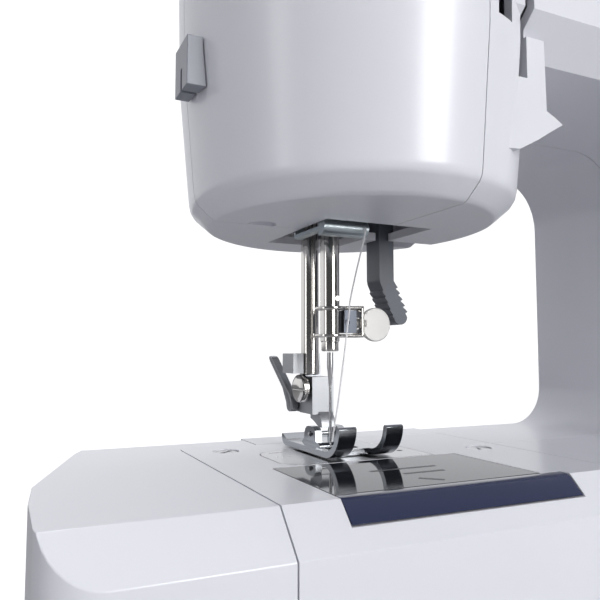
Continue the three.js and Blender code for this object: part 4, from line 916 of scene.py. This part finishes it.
# Handwheel: a white moulded cup with finger grips round its rim and a boss in the middle, keyed to the
# shaft.
wheel_left = BODY_RIGHT + 1.5
wheel_right = wheel_left + 24
wheel_bm = bmesh.new()
turned(wheel_bm, [(0, wheel_left + 2), (27, wheel_left), (31.6, wheel_left + 0.6), (33, wheel_left + 2.2),
                  (33, wheel_right - 6), (32.4, wheel_right - 3.2), (30.6, wheel_right - 1.2),
                  (27.6, wheel_right - 0.2), (24, wheel_right), (22.4, wheel_right - 0.6),
                  (21, wheel_right - 3), (14.2, wheel_right - 4), (13, wheel_right - 3.6),
                  (12, wheel_right - 0.6), (11.2, wheel_right), (0, wheel_right)],
       "x", (0, 145), 120)
for k in range(10):
    turn_angle = k / 10 * 2 * math.pi
    wheel_bm = carve(wheel_bm, rod("x", (34 * math.cos(turn_angle), 145 + 34 * math.sin(turn_angle)), 3,
                                   wheel_left - 1, wheel_right + 1, 24))
wheel_bm = carve(wheel_bm, rod("x", (0, 145), 6.3, 0, BODY_RIGHT + 2.3, 40))
sculpt("handwheel_moulding", [wheel_bm], [], shell_white, "handwheel", ["handwheel"], 0.35, 2, 32)

# Dials: round white moulded knobs with a grip bar across the face, each on a short shaft. A ring of
# printed ticks stands around each on the front cover.
print_grey = finish("print_grey", (0.3, 0.3, 0.33), 0.5)


def dial(name, radius, depth, z, ticks):
    """One front knob and its printed ring."""
    face_y = BODY_FRONT - SEAM
    grip = block(170 - 1.8, 170 + 1.8, face_y - depth - 2, face_y - depth + 1, z - radius + 3,
                 z + radius - 3)
    soften(grip, 0.9, 3)
    body = bmesh.new()
    turned(body, [(0, face_y - depth), (radius - 2.6, face_y - depth), (radius - 1.6, face_y - depth + 0.5),
                  (radius - 1, face_y - depth + 1.5), (radius, face_y), (0, face_y)], "y", (170, z), 96)
    turned(body, [(0, face_y - 1), (3, face_y - 1), (3, -30), (0, -30)], "y", (170, z), 24)
    merge_into(body, grip)
    finish_mesh(name + "_knob", body, shell_white, name, [name], 35)
    ring = bmesh.new()
    for k in range(ticks):
        angle = math.radians(-60 + k * 300 / (ticks - 1))
        u, w = 170 + (radius + 4) * math.sin(angle), z + (radius + 4) * math.cos(angle)
        tick = slab(ring, (-0.3, BODY_FRONT - 0.03, -1.4), (0.3, BODY_FRONT + 0.05, 1.4))
        bmesh.ops.rotate(ring, cent=(0, 0, 0), matrix=Matrix.Rotation(angle, 3, "Y"), verts=tick)
        bmesh.ops.translate(ring, vec=(u, 0, w), verts=tick)
    finish_mesh(name + "_ticks", ring, print_grey, "root", [])


dial("pattern_dial", 20, 10, 128, 15)
dial("stitch_length_dial", 13, 9, 80, 6)
sculpt("reverse_paddle", [prism(rounded(157, 183, 28, 40, 5, 8), "y", BODY_FRONT - 8, BODY_FRONT - 3),
                          block(167, 173, BODY_FRONT - 4, -34, 32, 36)], [
    block(161, 179, BODY_FRONT - 9, BODY_FRONT - 7.6, 33.5, 34.5),
], shell_white, "reverse_lever", ["reverse_lever"], 0.6, 3, 32)

# Carry handle: a grey moulding folded flat in its pocket on top of the arm. Its round ends turn on two
# pins.
grey_plastic = finish("grey_plastic", (0.27, 0.28, 0.32), 0.38, grain=0.15, grain_scale=1800)

handle_bodies = []
for start in (57, 146):
    handle_bodies += [block(start, start + 7, 13, 33, 173.6, 179.6),
                      rod("x", (33, 176.6), 3, start, start + 7, 40)]
handle_bodies += [rod("x", (33, 176.6), 1.6, 51.5, 58, 24), rod("x", (33, 176.6), 1.6, 152, 158.5, 24),
                  block(57, 153, 13, 20, 173.6, 179.6)]
sculpt("handle_bar", handle_bodies, [], grey_plastic, "carry_handle", ["carry_handle"], 0.7, 3, 35)

# Spool pins, bobbin winder and its stop: white round mouldings that stand on top of the arm. The pins
# pull up, and the winder shifts towards its stop.
for k, x in enumerate((72, 108)):
    turned_piece(f"spool_rod_{k + 1}", [
        ("z", (x, -32),
         [(0, 136), (2.6, 136), (2.6, ARM_TOP + SEAM), (5.2, ARM_TOP + SEAM), (5.5, ARM_TOP + 0.7),
                         (5.5, ARM_TOP + 2), (5.1, ARM_TOP + 2.5), (2.8, ARM_TOP + 3), (2.1, ARM_TOP + 3.5),
                         (0, ARM_TOP + 3.5)]),
    ], shell_white, f"spool_pin_{k + 1}", [f"spool_pin_{k + 1}"], 40)
turned_piece("winder_reel", [
    ("z", (172, -25),
     [(0, 160), (2.3, 160), (2.3, 182.3), (7.6, 182.3), (8, 182.7), (8, 183.4), (7.6, 183.8), (2.9, 183.8),
                       (2.9, 195), (2.4, 195.8), (1.6, 196), (0, 196)]),
], shell_white, "winder_spindle", ["winder_spindle"], 40)
turned_piece("winder_post", [
    ("z", (152.5, -25),
     [(0, ARM_TOP + SEAM), (4, ARM_TOP + SEAM), (4, ARM_TOP + 9.2), (3.6, ARM_TOP + 9.8), (3, ARM_TOP + 10),
      (0, ARM_TOP + 10)]),
], shell_white, "root", ["winder_stop"], 40)
sculpt("winder_lever",
       [block(162, 182, -33, -17, 166, 170), rod("z", (172, -25), 4.2, 169, ARM_TOP + 1, 48)],
       [rod("z", (172, -25), 2.6, 160, 190, 40)], shell_white, "winder_arm", ["winder_arm"], 0.3, 2, 35)

# Tension wheel: a white moulded disc with a knurled rim that stands up through a slot in the cover. It
# turns on a pin inside the head.
wheel = bmesh.new()
turned(wheel,
       [(0, 33), (13.6, 33), (14.6, 33.5), (15, 34.2), (15, 39.8), (14.6, 40.5), (13.6, 41), (0, 41)], "x",
       (-34, 170.5), 90)
for k in range(30):
    angle = k / 30 * 2 * math.pi
    wheel = carve(wheel,
                  rod("x", (-34 + 15.2 * math.cos(angle), 170.5 + 15.2 * math.sin(angle)), 0.45, 32, 42, 8))
finish_mesh("tension_disc", wheel, shell_white, "tension_wheel", ["tension_wheel"], 35)

# Top thread guide: bright wire bent to a hook on top of the arm. Thread cutter: a grey moulded hook,
# shaped to the head's left side, with a slit for the thread.
guide_bm = bmesh.new()
slab(guide_bm, (24, 6, ARM_TOP + SEAM), (30, 9, ARM_TOP + 1.3))
tube(guide_bm, through_points([(24.6, 7.5, ARM_TOP + 1), (24.6, 7.5, ARM_TOP + 6), (25, 7.5, ARM_TOP + 7.8),
                               (26.2, 7.5, ARM_TOP + 8.4), (28.2, 7.5, ARM_TOP + 8.4),
                               (29.3, 7.5, ARM_TOP + 7.6), (29.4, 7.5, ARM_TOP + 5)]), 0.55, 14)
finish_mesh("guide_wire", guide_bm, chrome, "root", ["top_thread_guide"], 40)
cutter_x = HEAD_CENTRE[0] - 55.3 * HEAD_ROUNDNESS
sculpt("cutter_hook", [block(cutter_x - 3.3, cutter_x + 8, -22, -10, 99, 112)], [
    head_cup(-0.3), block(cutter_x - 6, cutter_x + 8, -17, -15.6, 96, 105),
], grey_plastic, "root", ["thread_cutter"], 0.5, 3, 35)

# Rocker switch: a black moulded rocker in the right end, with its two halves sloping to the middle. It
# rocks on a pin behind the cover.
rocker = [(193, -40), (201, -30), (206.2, -30), (207.4, -30.8), (204.8, -39), (204.6, -40), (204.8, -41.2),
          (205.4, -49.2), (204.6, -50), (201, -50)]
sculpt("rocker_cap", [prism(rocker, "y", -21, -7)], [], dark_plastic, "power_switch", ["power_switch"],
       0.4, 2, 35)
